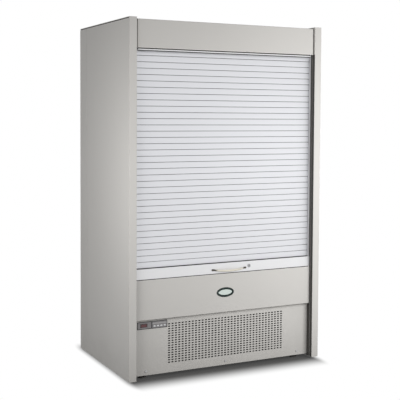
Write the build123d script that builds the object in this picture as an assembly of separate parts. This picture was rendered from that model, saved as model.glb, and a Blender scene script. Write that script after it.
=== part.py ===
"""Upright multideck display fridge whose display opening is closed by a roller shutter.

X runs across the front, Y from front to back and Z up from the floor. The origin is on the
floor, below the middle of the cabinet. All sizes are in millimetres.
"""
import math
import os

from build123d import *

# --- Cabinet ---
cabinet_width = 1200
cabinet_depth = 780
cabinet_height = 1940
floor_gap = 10
end_panel_thickness = 44
end_panel_edge_radius = 6
end_groove_setback = 20
end_groove_width = 7
end_groove_depth = 5
insulation_thickness = 50
sheet = 1.5
side_gap = 2.5
running_gap = 0.3

# --- Fronts, as setbacks from the front edge of the end panels ---
fascia_setback = 15
fascia_top_drop = 9
fascia_height = 148
fascia_return_depth = 12
shutter_setback = 44
apron_setback = 30
grille_setback = 53
grille_panel_bottom = 20
grille_panel_height = 306
panel_joint = 1.5
apron_height = 216
apron_side_return = 18
grille_return_depth = 22

# --- Roller shutter ---
slat_pitch = 33.45
slat_thickness = 8
slat_crown = 1.3
slat_joint = 1.2
slat_pivot_rise = 5
slat_pivot_inset = 4.5
slat_wall = 1.3
slat_bead_radius = 1.7
slat_web = 1.4
slat_mouth = 1.3
slat_mouth_reach = 12
slat_mouth_drop = 5.6
lean_slats = 2
barrel_radius = 27
barrel_wall = 2
barrel_end_gap = 17
barrel_anchor_height = 4
barrel_anchor_width = 6
axle_radius = 6
axle_collar_radius = 16
axle_collar_width = 12
spring_radius = 15
spring_length = 600
bracket_thickness = 4
bracket_height = 60
bracket_top_gap = 3

# --- Shutter guides ---
guide_front_setback = 36
guide_leg = 5
guide_slot = 14
guide_rear_leg = 4
guide_web = 3
guide_front_lip = 10
guide_rear_lip = 30
slat_end_gap = 3

# --- Bottom rail, handle and lock ---
rail_height = 58
rail_depth = 23.5
rail_wall = 2
rail_box_gap = 2
rail_tongue_height = 50
rail_tongue_clearance = 1
line_above_rail = 1.7
seal_height = 2.2
seal_depth = 16
seal_inset = 4
handle_centre_x = 16
handle_length = 220
handle_reach = 25
handle_bar = 6
handle_bar_height = 10
handle_height_in_rail = 22.5
handle_edge = 2
handle_droop = 15
handle_root = 4
lock_x = 144
lock_height_in_rail = 32
lock_flange_radius = 10
lock_flange = 2.5
lock_radius = 8
lock_cam = 3
lock_cam_gap = 1
lock_cam_reach = 26
lock_cam_tip_radius = 5
lock_nut_radius = 5
lock_nut = 2.5
key_slot_width = 1.6
key_slot_height = 9
key_slot_depth = 1.8
keeper_offset = 14
keeper_width = 18
keeper_plate = 3
keeper_play = 2.5

# --- Head box, ceiling and light ---
head_box_depth = 165
liner_slot_rear = 62
roof_thickness = 50
honeycomb_depth = 70
honeycomb_height = 20
honeycomb_columns = 72
honeycomb_rows = 4
honeycomb_wall = 1.5
honeycomb_rim = 4
light_inset = 12
light_depth = 34
light_height = 16
light_length = 1040
light_lens_depth = 22
light_lens_height = 5

# --- Cold chamber ---
rear_duct_depth = 78
chamber_floor = 345
well_floor_thickness = 40
well_wall_setback = 62
well_wall_thickness = 30
well_wall_top = 526
deck_top = 530
return_grille_depth = 68
return_slot_length = 30
return_slot_width = 7
return_slot_pitch_x = 40
return_slot_pitch_y = 14
return_slot_columns = 26
return_slot_rows = 4
deck_flange = 18
deck_rail_width = 20
deck_rail_height = 20
duct_slot_length = 30
duct_slot_width = 6
duct_slot_columns = 16
duct_slot_rows = 22
duct_slot_pitch_x = 66
duct_slot_pitch_z = 54

# --- Shelves ---
shelf_count = 4
first_shelf_rise = 255
shelf_rise = 248
shelf_depth = 400
shelf_depth_step = 25
shelf_lip = 25
shelf_side_gap = 8
upright_width = 24
upright_depth = 12
upright_slot_width = 8
upright_slot_height = 16
upright_slot_pitch = 31
upright_slot_count = 38
upright_foot = 12
bracket_plate = 3
bracket_plate_height = 60
bracket_tip_height = 14
bracket_tip_inset = 12
ticket_height = 30
ticket_thickness = 3

# --- Evaporator and its fans ---
evaporator_depth = 170
evaporator_height = 110
evaporator_half_length = 500
evaporator_back_gap = 24
evaporator_end_plate = 3
fan_plate_gap = 78
cowl_size = 128
cowl_depth = 36
evaporator_fan_x = 260
evaporator_fan_radius = 56
evaporator_fan_clearance = 3
evaporator_hub_radius = 20
evaporator_motor_length = 12
evaporator_blades = 5
evaporator_blade_angle = 35
evaporator_spider = 5

# --- Badge and control panel ---
badge_width = 109
badge_height = 55
badge_x = -8
badge_z = 439
badge_rim = 8.5
badge_proud = 3
badge_plate_thickness = 1.8
control_left = -531.5
control_width = 177
control_bottom = 273
control_height = 40.5
control_proud = 2
control_lip = 5
control_depth = 55
display_width = 41
display_height = 20
display_x = -492.5
display_z = 293
display_thickness = 1.6
button_xs = (-430, -410, -390, -370)
button_z = 286
button_width = 12
button_height = 7
button_proud = 1.2
button_stem = 5
button_clearance = 0.3
control_divider_x = -445.7
control_divider_width = 1.2

# --- Front grille ---
grille_slot_length = 14
grille_slot_height = 7
grille_pitch_x = 20.5
grille_pitch_z = 13.3
grille_columns = 36
grille_rows = 17
grille_centre_x = 17
grille_centre_z = 182
screw_xs = (-480, 8, 485)
screw_radius = 3
screw_head_radius = 5.5
screw_head = 3
screw_rise = 12

# --- Machine compartment ---
tray_bottom = 30
tray_thickness = 3
tray_upstand = 40
tray_front_setback = 62
tray_back_gap = 8
foot_inset_x = 70
foot_inset_y = 95
foot_pad_radius = 22
foot_pad_height = 9
foot_stem_radius = 6
condenser_width = 560
condenser_height = 236
condenser_depth = 58
condenser_setback = 88
condenser_x = -20
condenser_rise = 24
condenser_plate = 3
condenser_bend_radius = 5
condenser_bend_pitch = 38
shroud_depth = 26
shroud_wall = 2
fan_radius = 104
fan_clearance = 5
fan_hub_radius = 26
fan_depth = 24
fan_blades = 5
fan_blade_angle = 32
blade_thickness = 2
blade_chord_share = 0.8
motor_radius = 36
motor_length = 62
motor_arm = 10
motor_arm_thickness = 4
compressor_x = 190
compressor_setback = 500
compressor_radius = 78
compressor_height = 190
compressor_dome = 27
compressor_foot = 15
compressor_foot_size = 200
compressor_foot_radius = 12
compressor_foot_inset = 20
compressor_plate = 4.5
terminal_width = 60
terminal_height = 70
terminal_depth = 26
terminal_overlap = 10
receiver_x = -330
receiver_radius = 48
receiver_height = 200
receiver_shoulder = 24
drip_tray_width = 420
drip_tray_depth = 110
drip_tray_height = 46
drip_tray_wall = 2
drip_tray_x = -60
rear_cover = 2
vent_columns = 3
vent_rows = 11
vent_slot_length = 260
vent_slot_height = 7
vent_pitch_x = 310
vent_pitch_z = 17
gland_x = 500
gland_rise = 70
gland_radius = 14
gland_hole_radius = 5
gland_length = 16
gland_flange_radius = 19
gland_flange = 3
pipe_radius = 4.8
pipe_bend = 24
pipe_lane = 60
pipe_top_drop = 50

# --- Sizes worked out from those above ---
half_width = cabinet_width / 2
inner_half = half_width - end_panel_thickness
front_y = -cabinet_depth / 2
back_y = cabinet_depth / 2
fascia_top = cabinet_height - fascia_top_drop
fascia_bottom = fascia_top - fascia_height
fascia_y = front_y + fascia_setback
head_back_y = fascia_y + sheet + head_box_depth
head_floor = fascia_bottom + 2 * sheet
panel_back_y = back_y - insulation_thickness
duct_panel_y = panel_back_y - rear_duct_depth
grille_top = grille_panel_bottom + grille_panel_height
apron_bottom = grille_top + panel_joint
apron_top = apron_bottom + apron_height
apron_y = front_y + apron_setback
grille_y = front_y + grille_setback
rail_bottom = apron_top + running_gap + seal_height
rail_top = rail_bottom + rail_height
first_line = rail_top + line_above_rail
slat_rows = math.ceil((fascia_bottom - first_line) / slat_pitch)
slat_pivot_y = front_y + shutter_setback + slat_pivot_inset
guide_y = front_y + guide_front_setback
guide_back_y = guide_y + guide_leg + guide_slot + guide_rear_leg
guide_top = first_line + slat_rows * slat_pitch
slat_half = inner_half - guide_web - slat_end_gap
last_pivot_z = guide_top + slat_pivot_rise
barrel_z = (head_floor + fascia_top - sheet) / 2
wrap_radius = barrel_radius + barrel_anchor_height
lean_length = lean_slats * slat_pitch
barrel_rise = barrel_z - last_pivot_z
axle_distance = math.hypot(wrap_radius, lean_length)
barrel_y = slat_pivot_y + math.sqrt(axle_distance**2 - barrel_rise**2)
lean_angle = math.atan2(barrel_rise, barrel_y - slat_pivot_y) + math.asin(wrap_radius / axle_distance)
well_floor_top = chamber_floor + well_floor_thickness
well_y = front_y + well_wall_setback
return_grille_y = well_y + well_wall_thickness
deck_y = return_grille_y + return_grille_depth
tray_top = tray_bottom + tray_thickness
tray_front_y = front_y + tray_front_setback
tray_back_y = back_y - tray_back_gap
lock_z = rail_bottom + lock_height_in_rail
rail_back = apron_y + rail_depth
cam_y = rail_back + lock_cam_gap
cam_back = cam_y + lock_cam
machine_y = front_y + compressor_setback
shroud_back = front_y + condenser_setback + condenser_depth + shroud_depth
condenser_fan_y = shroud_back + fan_depth / 2
fan_plate_y = panel_back_y - evaporator_back_gap - rear_duct_depth - evaporator_depth - fan_plate_gap


def block(x0, x1, y0, y1, z0, z1):
    """A box between two opposite corners."""
    centre = Pos((x0 + x1) / 2, (y0 + y1) / 2, (z0 + z1) / 2)
    return centre * Box(x1 - x0, y1 - y0, z1 - z0)


def rod(start, end, radius):
    """A round bar from one point to another, along X, Y or Z."""
    axis = Vector(*end) - Vector(*start)
    plane = Plane(origin=start, z_dir=axis)
    return extrude(plane * Circle(radius), axis.length)


def tube(start, end, radius, bore):
    """A round tube from one point to another."""
    return rod(start, end, radius) - rod(start, end, bore)


def both_sides(solid):
    """A solid and its mirror image on the other side of the cabinet."""
    return [solid, mirror(solid, Plane.YZ)]


def slotted_sheet(width, height, thickness, slot, pitch_x, pitch_y, columns, rows, shift=(0, 0), openings=()):
    """A flat sheet in XY with a grid of equal slots and any other openings, its underside at Z = 0."""
    grid = GridLocations(pitch_x, pitch_y, columns, rows)
    slots = [(Pos(*shift) * place * slot).wire() for place in grid]
    slots += [opening.wire() for opening in openings]
    return Solid.extrude(Face(Rectangle(width, height).wire(), slots), Vector(0, 0, thickness))


def write(name, *solids):
    """Write one node's solids to its STEP file."""
    shape = solids[0] if len(solids) == 1 else Compound(children=list(solids))
    export_step(shape, f"parts/{name}.step")


# --- Casing ---
def end_panel():
    """The left end panel: full depth, rounded at its front outer edge, with a shadow groove inside."""
    panel = block(-half_width, -inner_half, front_y, back_y, floor_gap, cabinet_height)
    edge = panel.edges().filter_by(Axis.Z).sort_by(lambda e: e.center().X + e.center().Y)[0]
    panel = fillet(edge, end_panel_edge_radius)
    groove_y = front_y + end_groove_setback
    groove_x = -inner_half - end_groove_depth
    groove_back = groove_y + end_groove_width
    return panel - block(groove_x, -inner_half, groove_y, groove_back, floor_gap, cabinet_height)


def back_panel():
    return block(-inner_half, inner_half, panel_back_y, back_y, chamber_floor, fascia_top)


def roof_panel():
    return block(-inner_half, inner_half, head_back_y, panel_back_y, fascia_top - roof_thickness, fascia_top)


def top_fascia():
    """Front sheet with a long return over the head box and a short one under it."""
    half = inner_half - side_gap
    front = block(-half, half, fascia_y, fascia_y + sheet, fascia_bottom, fascia_top)
    top = block(-half, half, fascia_y, head_back_y, fascia_top - sheet, fascia_top)
    under = block(-half, half, fascia_y, fascia_y + fascia_return_depth, fascia_bottom, fascia_bottom + sheet)
    return front + top + under


def head_box_liner():
    """Floor and back of the space that the shutter rolls up in, with a slot left at the front."""
    liner_y = front_y + liner_slot_rear
    floor = block(-inner_half, inner_half, liner_y, head_back_y, head_floor - sheet, head_floor)
    back = block(-inner_half, inner_half, head_back_y - sheet, head_back_y, head_floor, fascia_top - sheet)
    return floor + back


def base_tray():
    """Pan with upstands that carries the whole machine compartment."""
    top = tray_top + tray_upstand
    tray = block(-inner_half, inner_half, tray_front_y, tray_back_y, tray_bottom, top)
    half = inner_half - tray_thickness
    front = tray_front_y + tray_thickness
    back = tray_back_y - tray_thickness
    return tray - block(-half, half, front, back, tray_top, top)


def levelling_feet():
    """Four screw feet below the corners of the base tray."""
    feet = []
    for x in (-inner_half + foot_inset_x, inner_half - foot_inset_x):
        for y in (front_y + foot_inset_y, back_y - foot_inset_y):
            pad = rod((x, y, 0), (x, y, foot_pad_height), foot_pad_radius)
            feet.append(pad + rod((x, y, foot_pad_height), (x, y, tray_bottom), foot_stem_radius))
    return feet


def rear_vent_cover():
    """Louvred sheet over the back of the machine compartment."""
    bottom = tray_top
    height = chamber_floor - bottom
    slot = SlotOverall(vent_slot_length, vent_slot_height)
    grid = (vent_pitch_x, vent_pitch_z, vent_columns, vent_rows)
    cover = slotted_sheet(2 * inner_half, height, rear_cover, slot, *grid)
    cover = Pos(0, back_y, bottom + height / 2) * Rot(X=90) * cover
    gland_z = bottom + gland_rise
    return cover - rod((gland_x, back_y - rear_cover, gland_z), (gland_x, back_y, gland_z), gland_radius)


def mains_gland():
    """Cable gland in the rear cover, with a bore for the mains lead."""
    z = tray_top + gland_rise
    inner_y = back_y - rear_cover
    start = (gland_x, inner_y - gland_length, z)
    end = (gland_x, back_y, z)
    flange = rod((gland_x, inner_y - gland_flange, z), (gland_x, inner_y, z), gland_flange_radius)
    return rod(start, end, gland_radius) + flange - rod(start, end, gland_hole_radius)


# --- Roller shutter ---
def slat_profile():
    """Section of one slat in (Y, Z), with its socket's centre at the origin and its bead above."""
    front_y0 = -slat_pivot_inset + slat_crown
    back = slat_thickness - slat_pivot_inset
    foot = -slat_pivot_rise + slat_joint / 2
    top = slat_pitch - slat_pivot_rise - slat_joint / 2
    face = ThreePointArc((front_y0, foot), (-slat_pivot_inset, (foot + top) / 2), (front_y0, top))
    body = make_face([face, Polyline((front_y0, top), (back, top), (back, foot), (front_y0, foot))])
    hollow_foot = slat_bead_radius + running_gap + slat_wall
    hollow_centre = Pos((front_y0 + back) / 2, (hollow_foot + top - slat_wall) / 2)
    hollow = hollow_centre * Rectangle(back - front_y0 - 2 * slat_wall, top - slat_wall - hollow_foot)
    web = Pos(0, (top - slat_joint + slat_pitch) / 2) * Rectangle(slat_web, slat_pitch - top + slat_joint)
    bead = Pos(0, slat_pitch) * Circle(slat_bead_radius)
    socket = Circle(slat_bead_radius + running_gap)
    mouth = make_face(
        Polyline(
            (-slat_mouth, 0),
            (-slat_mouth, -slat_mouth_reach),
            (slat_mouth_reach, -slat_mouth_reach),
            (slat_mouth_reach, -slat_mouth_drop),
            (0, 0),
            (-slat_mouth, 0),
        )
    )
    return body - hollow - socket - mouth + web + bead


def shutter_slats():
    """The curtain: upright slats in the guides, then the last ones leaning back to the barrel."""
    slat = extrude(Plane.YZ * slat_profile(), slat_half, both=True)
    slats = []
    for row in range(slat_rows):
        pivot_z = first_line + slat_pivot_rise + row * slat_pitch
        slats.append(Pos(0, slat_pivot_y, pivot_z) * slat)
    tilt = math.degrees(lean_angle) - 90
    for step in range(lean_slats):
        y = slat_pivot_y + step * slat_pitch * math.cos(lean_angle)
        z = last_pivot_z + step * slat_pitch * math.sin(lean_angle)
        slats.append(Pos(0, y, z) * Rot(X=tilt) * slat)
    return slats


def shutter_barrel():
    """Tube that the curtain rolls on, with end discs on the axle and a bar that takes the last slat."""
    half = inner_half - barrel_end_gap
    disc = barrel_end_gap
    inner = barrel_radius - barrel_wall
    drum = tube((-half, barrel_y, barrel_z), (half, barrel_y, barrel_z), barrel_radius, inner)
    bore = axle_radius + running_gap
    for x0, x1 in ((-half, disc - half), (half - disc, half)):
        drum += tube((x0, barrel_y, barrel_z), (x1, barrel_y, barrel_z), inner, bore)
    bar_end = wrap_radius - slat_bead_radius - running_gap
    bar_start = barrel_radius - barrel_wall / 2
    bar = block(-half, half, bar_start, bar_end, -barrel_anchor_width / 2, barrel_anchor_width / 2)
    return drum + Pos(0, barrel_y, barrel_z) * Rot(X=math.degrees(lean_angle) + 90) * bar


def barrel_axle():
    """Fixed axle through the barrel, with the collar that anchors the counterbalance spring."""
    bar = rod((-inner_half, barrel_y, barrel_z), (inner_half, barrel_y, barrel_z), axle_radius)
    x = -spring_length / 2
    return bar + rod((x - axle_collar_width, barrel_y, barrel_z), (x, barrel_y, barrel_z), axle_collar_radius)


def counterbalance_spring():
    """Torsion spring inside the barrel, as the sleeve that its turns fill."""
    half = spring_length / 2
    bore = axle_radius + running_gap
    return tube((-half, barrel_y, barrel_z), (half, barrel_y, barrel_z), spring_radius, bore)


def barrel_bracket():
    """Plate on the left end panel that holds the axle."""
    top = fascia_top - sheet - bracket_top_gap
    half = bracket_height / 2
    x1 = bracket_thickness - inner_half
    plate = block(-inner_half, x1, barrel_y - half, barrel_y + half, barrel_z - half, top)
    return plate - rod((-inner_half, barrel_y, barrel_z), (x1, barrel_y, barrel_z), axle_radius)


def shutter_guide():
    """Left guide channel, open towards the curtain."""
    slot_y = guide_y + guide_leg
    web = block(-inner_half, guide_web - inner_half, guide_y, guide_back_y, apron_top, guide_top)
    front = block(-inner_half, guide_front_lip - inner_half, guide_y, slot_y, apron_top, guide_top)
    rear_y = slot_y + guide_slot
    rear = block(-inner_half, guide_rear_lip - inner_half, rear_y, guide_back_y, apron_top, guide_top)
    return web + front + rear


def bottom_rail():
    """Hollow rail with a wide front, end tongues in the guides and a bead for the lowest slat."""
    half = inner_half - guide_front_lip - rail_box_gap
    front_half = inner_half - side_gap
    rail = block(-half, half, apron_y, rail_back, rail_bottom, rail_top)
    hollow = half - rail_wall
    floor = rail_bottom + rail_wall
    rail -= block(-hollow, hollow, apron_y + rail_wall, rail_back - rail_wall, floor, rail_top - rail_wall)
    rail += block(-front_half, front_half, apron_y, apron_y + rail_wall, rail_bottom, rail_top)
    tongue_z = (rail_bottom + rail_top - rail_tongue_height) / 2
    tongue_front = guide_y + guide_leg + rail_tongue_clearance
    for x0, x1 in ((-slat_half, -half), (half, slat_half)):
        rail += block(x0, x1, tongue_front, rail_back, tongue_z, tongue_z + rail_tongue_height)
    pivot_z = first_line + slat_pivot_rise
    bead = Pos(slat_pivot_y, pivot_z) * Circle(slat_bead_radius)
    web = Pos(slat_pivot_y, (rail_top + pivot_z) / 2) * Rectangle(slat_web, pivot_z - rail_top)
    rail += extrude(Plane.YZ * (bead + web), half, both=True)
    hole = lock_radius + running_gap
    return rail - rod((lock_x, apron_y, lock_z), (lock_x, rail_back, lock_z), hole)


def rail_seal():
    """Rubber strip under the rail."""
    half = inner_half - guide_front_lip - rail_box_gap
    seal_y = apron_y + seal_inset
    return block(-half, half, seal_y, seal_y + seal_depth, rail_bottom - seal_height, rail_bottom)


def pull_handle():
    """Bow handle: a flat bar bent forward between two feet on the rail, and drooping a little."""
    half = handle_length / 2
    inner = half - handle_bar * 2
    z = rail_bottom + handle_height_in_rail
    outer_arc = ThreePointArc((-half, 0), (0, -handle_reach), (half, 0))
    inner_arc = ThreePointArc((inner, 0), (0, handle_bar - handle_reach), (-inner, 0))
    right_root = Polyline((half, 0), (half, handle_root), (inner, handle_root), (inner, 0))
    left_root = Polyline((-inner, 0), (-inner, handle_root), (-half, handle_root), (-half, 0))
    bow = extrude(make_face([outer_arc, right_root, inner_arc, left_root]), handle_bar_height / 2, both=True)
    edges = bow.faces().filter_by(GeomType.CYLINDER).edges().filter_by(GeomType.CIRCLE)
    bow = Pos(handle_centre_x, apron_y, z) * Rot(X=handle_droop) * fillet(edges, handle_edge)
    x0 = handle_centre_x - half
    z0 = z - handle_bar_height
    return bow - block(x0, x0 + handle_length, apron_y, apron_y + 2 * handle_root, z0, z + handle_bar_height)


def lock_cylinder():
    """Key cylinder through the rail, with its flange, key slot, nut and the cam behind the rail."""
    flange = rod((lock_x, apron_y - lock_flange, lock_z), (lock_x, apron_y, lock_z), lock_flange_radius)
    core = rod((lock_x, apron_y, lock_z), (lock_x, cam_back, lock_z), lock_radius)
    tip_z = lock_z - lock_cam_reach + lock_cam_tip_radius
    arm = block(lock_x - lock_cam_tip_radius, lock_x + lock_cam_tip_radius, cam_y, cam_back, tip_z, lock_z)
    tip = rod((lock_x, cam_y, tip_z), (lock_x, cam_back, tip_z), lock_cam_tip_radius)
    nut = rod((lock_x, cam_back, lock_z), (lock_x, cam_back + lock_nut, lock_z), lock_nut_radius)
    x0 = lock_x - key_slot_width / 2
    y0 = apron_y - lock_flange
    z0 = lock_z - key_slot_height / 2
    slot = block(x0, x0 + key_slot_width, y0, y0 + key_slot_depth, z0, z0 + key_slot_height)
    return flange + core + arm + tip + nut - slot


def lock_keeper():
    """Plate on the apron's top return, with a lip that the turned cam lies under."""
    x1 = lock_x - keeper_offset
    x0 = x1 - keeper_width
    plate_y = cam_back + lock_cam_gap
    lip_z = lock_z + lock_radius + keeper_play
    plate = block(x0, x1, plate_y, plate_y + keeper_plate, apron_top, lip_z + keeper_plate)
    return plate + block(x0, x1, rail_back + running_gap, plate_y, lip_z, lip_z + keeper_plate)


# --- Ceiling and light ---
def ceiling_panel():
    y0 = head_back_y + honeycomb_depth
    return block(-inner_half, inner_half, y0, duct_panel_y + sheet, head_floor - sheet, head_floor)


def air_honeycomb():
    """Grid of straight cells that the cold air curtain leaves through."""
    length = 2 * inner_half
    pitch_x = (length - 2 * honeycomb_rim) / honeycomb_columns
    pitch_y = (honeycomb_depth - 2 * honeycomb_rim) / honeycomb_rows
    cell = Rectangle(pitch_x - honeycomb_wall, pitch_y - honeycomb_wall)
    grid = (pitch_x, pitch_y, honeycomb_columns, honeycomb_rows)
    sheet_grid = slotted_sheet(length, honeycomb_depth, honeycomb_height, cell, *grid)
    return Pos(0, head_back_y + honeycomb_depth / 2, head_floor - sheet) * sheet_grid


def light_housing():
    """Batten under the ceiling, with a channel for its lens."""
    y0 = head_back_y + honeycomb_depth + light_inset
    top = head_floor - sheet
    half = light_length / 2
    body = block(-half, half, y0, y0 + light_depth, top - light_height, top)
    lens_y = y0 + (light_depth - light_lens_depth) / 2
    bottom = top - light_height
    return body - block(-half, half, lens_y, lens_y + light_lens_depth, bottom, bottom + light_lens_height)


def light_tube():
    """Diffuser strip in the channel of the light housing."""
    y0 = head_back_y + honeycomb_depth + light_inset + (light_depth - light_lens_depth) / 2
    bottom = head_floor - sheet - light_height
    half = light_length / 2
    return block(-half, half, y0, y0 + light_lens_depth, bottom, bottom + light_lens_height)


# --- Cold chamber ---
def rear_duct_panel():
    """Perforated sheet in front of the rear air duct."""
    height = head_floor - sheet - deck_top
    slot = SlotOverall(duct_slot_length, duct_slot_width)
    grid = (duct_slot_pitch_x, duct_slot_pitch_z, duct_slot_columns, duct_slot_rows)
    panel = slotted_sheet(2 * inner_half, height, sheet, slot, *grid)
    return Pos(0, duct_panel_y + sheet, deck_top + height / 2) * Rot(X=90) * panel


def insulated_base():
    """Foam-filled floor of the cold chamber with the front wall of its well."""
    floor = block(-inner_half, inner_half, well_y, panel_back_y, chamber_floor, well_floor_top)
    wall = block(-inner_half, inner_half, well_y, return_grille_y, well_floor_top, well_wall_top)
    return floor + wall


def deck_rail():
    """Left angle that carries the deck and the return grille."""
    x1 = deck_rail_width - inner_half
    top = deck_top - sheet
    flat = block(-inner_half, x1, return_grille_y, duct_panel_y, top - sheet, top)
    bottom = top - deck_rail_height
    upright = block(-inner_half, sheet - inner_half, return_grille_y, duct_panel_y, bottom, top)
    return flat + upright


def base_deck():
    """Bottom display deck, slotted at the front to draw the air curtain back in."""
    depth = duct_panel_y + sheet - return_grille_y
    slot = SlotOverall(return_slot_length, return_slot_width)
    grid = (return_slot_pitch_x, return_slot_pitch_y, return_slot_columns, return_slot_rows)
    shift = (0, (return_grille_depth - depth) / 2)
    deck = slotted_sheet(2 * inner_half, depth, sheet, slot, *grid, shift)
    deck = Pos(0, return_grille_y + depth / 2, deck_top - sheet) * deck
    half = inner_half - deck_rail_width - side_gap
    return deck + block(-half, half, deck_y, deck_y + sheet, deck_top - deck_flange, deck_top - sheet)


def shelf_height(index):
    """Height of one shelf's top face above the floor."""
    return deck_top + first_shelf_rise + index * shelf_rise


def shelf_front(index):
    """Front edge of one shelf; each is shallower than the one below."""
    return duct_panel_y - upright_depth - shelf_depth + index * shelf_depth_step


def shelf_tray(index):
    """Shelf pressed from sheet, with lips turned down at its front and back."""
    half = inner_half - shelf_side_gap
    top = shelf_height(index)
    y0 = shelf_front(index)
    y1 = duct_panel_y - upright_depth
    shelf = block(-half, half, y0, y1, top - sheet, top)
    shelf += block(-half, half, y0, y0 + sheet, top - shelf_lip, top)
    return shelf + block(-half, half, y1 - sheet, y1, top - shelf_lip, top)


def shelf_upright():
    """Left slotted upright that the shelf brackets hook into."""
    x0 = upright_foot - inner_half
    height = head_floor - sheet - deck_top
    slot = Rectangle(upright_slot_width, upright_slot_height)
    count = upright_slot_count
    bar = slotted_sheet(upright_width, height, upright_depth, slot, 1, upright_slot_pitch, 1, count)
    return Pos(x0 + upright_width / 2, duct_panel_y, deck_top + height / 2) * Rot(X=90) * bar


def shelf_bracket(index):
    """Tapered plate under one end of a shelf, with its back edge on the upright."""
    top = shelf_height(index) - sheet
    y1 = duct_panel_y - upright_depth - sheet
    y0 = shelf_front(index) + sheet + bracket_tip_inset
    outline = Polyline(
        (y0, top),
        (y1, top),
        (y1, top - bracket_plate_height),
        (y0, top - bracket_tip_height),
        (y0, top),
    )
    x = upright_foot + upright_width / 2 - inner_half
    return Pos(x, 0, 0) * extrude(Plane.YZ * make_face(outline), bracket_plate)


def ticket_strip(y, top):
    """Price strip along the front edge of a shelf or of the deck."""
    half = inner_half - shelf_side_gap
    return block(-half, half, y - ticket_thickness, y, top - ticket_height, top)


# --- Evaporator ---
def evaporator_coil():
    """Finned block between two end plates, lying in the well."""
    y1 = panel_back_y - evaporator_back_gap - rear_duct_depth
    y0 = y1 - evaporator_depth
    half = evaporator_half_length
    top = well_floor_top + evaporator_height
    lift = evaporator_end_plate
    core = block(-half, half, y0, y1, well_floor_top + lift, top)
    for x0, x1 in ((-half - evaporator_end_plate, -half), (half, half + evaporator_end_plate)):
        core += block(x0, x1, y0, y1, well_floor_top, top + lift)
    return core


def rotor(radius, hub, depth, blades, blade_angle):
    """Axial fan rotor about the Y axis, its back face at Y = 0."""
    wheel = rod((0, -depth, 0), (0, 0, 0), hub)
    span = radius - hub / 2
    chord = blade_chord_share * depth / math.sin(math.radians(blade_angle))
    blade = Pos(hub / 2 + span / 2, 0, 0) * Rot(X=blade_angle) * Box(span, blade_thickness, chord)
    for index in range(blades):
        turn = Rot(Y=360 * index / blades)
        wheel += Pos(0, -depth / 2, 0) * turn * blade
    ring = rod((0, -depth, 0), (0, 0, 0), radius)
    return wheel & ring


def evaporator_fan_plate():
    """Bulkhead in the well with two fan cowls, each with its motor on a spider."""
    plate_y = fan_plate_y
    z = (well_floor_top + deck_top) / 2
    top = deck_top - deck_rail_height - sheet
    plate = block(-inner_half, inner_half, plate_y, plate_y + sheet, well_floor_top, top)
    bore = evaporator_fan_radius + evaporator_fan_clearance
    for x in (-evaporator_fan_x, evaporator_fan_x):
        half = cowl_size / 2
        cowl_bottom = z - half
        plate += block(x - half, x + half, plate_y - cowl_depth, plate_y, cowl_bottom, z + half)
        plate -= rod((x, plate_y - cowl_depth, z), (x, plate_y + sheet, z), bore)
        motor_y = plate_y - evaporator_motor_length
        plate += rod((x, motor_y, z), (x, plate_y, z), evaporator_hub_radius)
        arm = evaporator_spider / 2
        reach = bore + arm
        plate += block(x - reach, x + reach, plate_y - evaporator_spider, plate_y, z - arm, z + arm)
        plate += block(x - arm, x + arm, plate_y - evaporator_spider, plate_y, z - reach, z + reach)
    return plate


def evaporator_fan(side):
    """Rotor in front of one of the motors."""
    z = (well_floor_top + deck_top) / 2
    back = fan_plate_y - evaporator_motor_length - running_gap
    depth = cowl_depth - evaporator_motor_length - running_gap - evaporator_fan_clearance
    count = evaporator_blades
    wheel = rotor(evaporator_fan_radius, evaporator_hub_radius, depth, count, evaporator_blade_angle)
    return Pos(side * evaporator_fan_x, back, z) * wheel


# --- Apron, badge, grille and controls ---
def apron_panel():
    """Sheet below the shutter, with returns on all four sides."""
    half = inner_half - side_gap
    back = well_y
    front = block(-half, half, apron_y, apron_y + sheet, apron_bottom, apron_top)
    top = block(-half, half, apron_y, back, apron_top - sheet, apron_top)
    under = block(-half, half, apron_y, well_y, apron_bottom, apron_bottom + sheet)
    panel = front + top + under
    for x0, x1 in ((-half, sheet - half), (half - sheet, half)):
        panel += block(x0, x1, apron_y, apron_y + apron_side_return, apron_bottom, apron_top)
    return panel


def badge_bezel():
    """Raised oval ring on the apron."""
    outer = Ellipse(badge_width / 2, badge_height / 2)
    inner = Ellipse(badge_width / 2 - badge_rim, badge_height / 2 - badge_rim)
    ring = extrude(outer - inner, badge_proud)
    ring = chamfer(ring.edges().group_by(Axis.Z)[-1], badge_proud / 3)
    return Pos(badge_x, apron_y, badge_z) * Rot(X=90) * ring


def badge_plate():
    """Plain oval plate inside the ring."""
    plate = extrude(Ellipse(badge_width / 2 - badge_rim, badge_height / 2 - badge_rim), badge_plate_thickness)
    return Pos(badge_x, apron_y, badge_z) * Rot(X=90) * plate


def grille_panel():
    """Perforated lower front panel with its openings, and the folded frame that stiffens it behind."""
    half = inner_half - running_gap
    middle = (grille_panel_bottom + grille_top) / 2
    slot = SlotOverall(grille_slot_length, grille_slot_height)
    shift = (grille_centre_x, grille_centre_z - middle)
    grid = (grille_pitch_x, grille_pitch_z, grille_columns, grille_rows)
    window = Rectangle(control_width - 2 * control_lip, control_height - 2 * control_lip)
    window = Pos(control_left + control_width / 2, control_bottom + control_height / 2 - middle) * window
    openings = [Pos(x, tray_bottom + screw_rise - middle) * Circle(screw_radius) for x in screw_xs]
    openings.append(window)
    face = slotted_sheet(2 * half, grille_panel_height, sheet, slot, *grid, shift, openings)
    face = Pos(0, grille_y + sheet, middle) * Rot(X=90) * face
    front = grille_y + sheet
    back = grille_y + grille_return_depth
    bottom = tray_top + tray_upstand
    frame = block(-half, half, front, back, bottom, grille_top)
    frame -= block(sheet - half, half - sheet, front, back, bottom, grille_top - sheet)
    return [face, frame]


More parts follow.
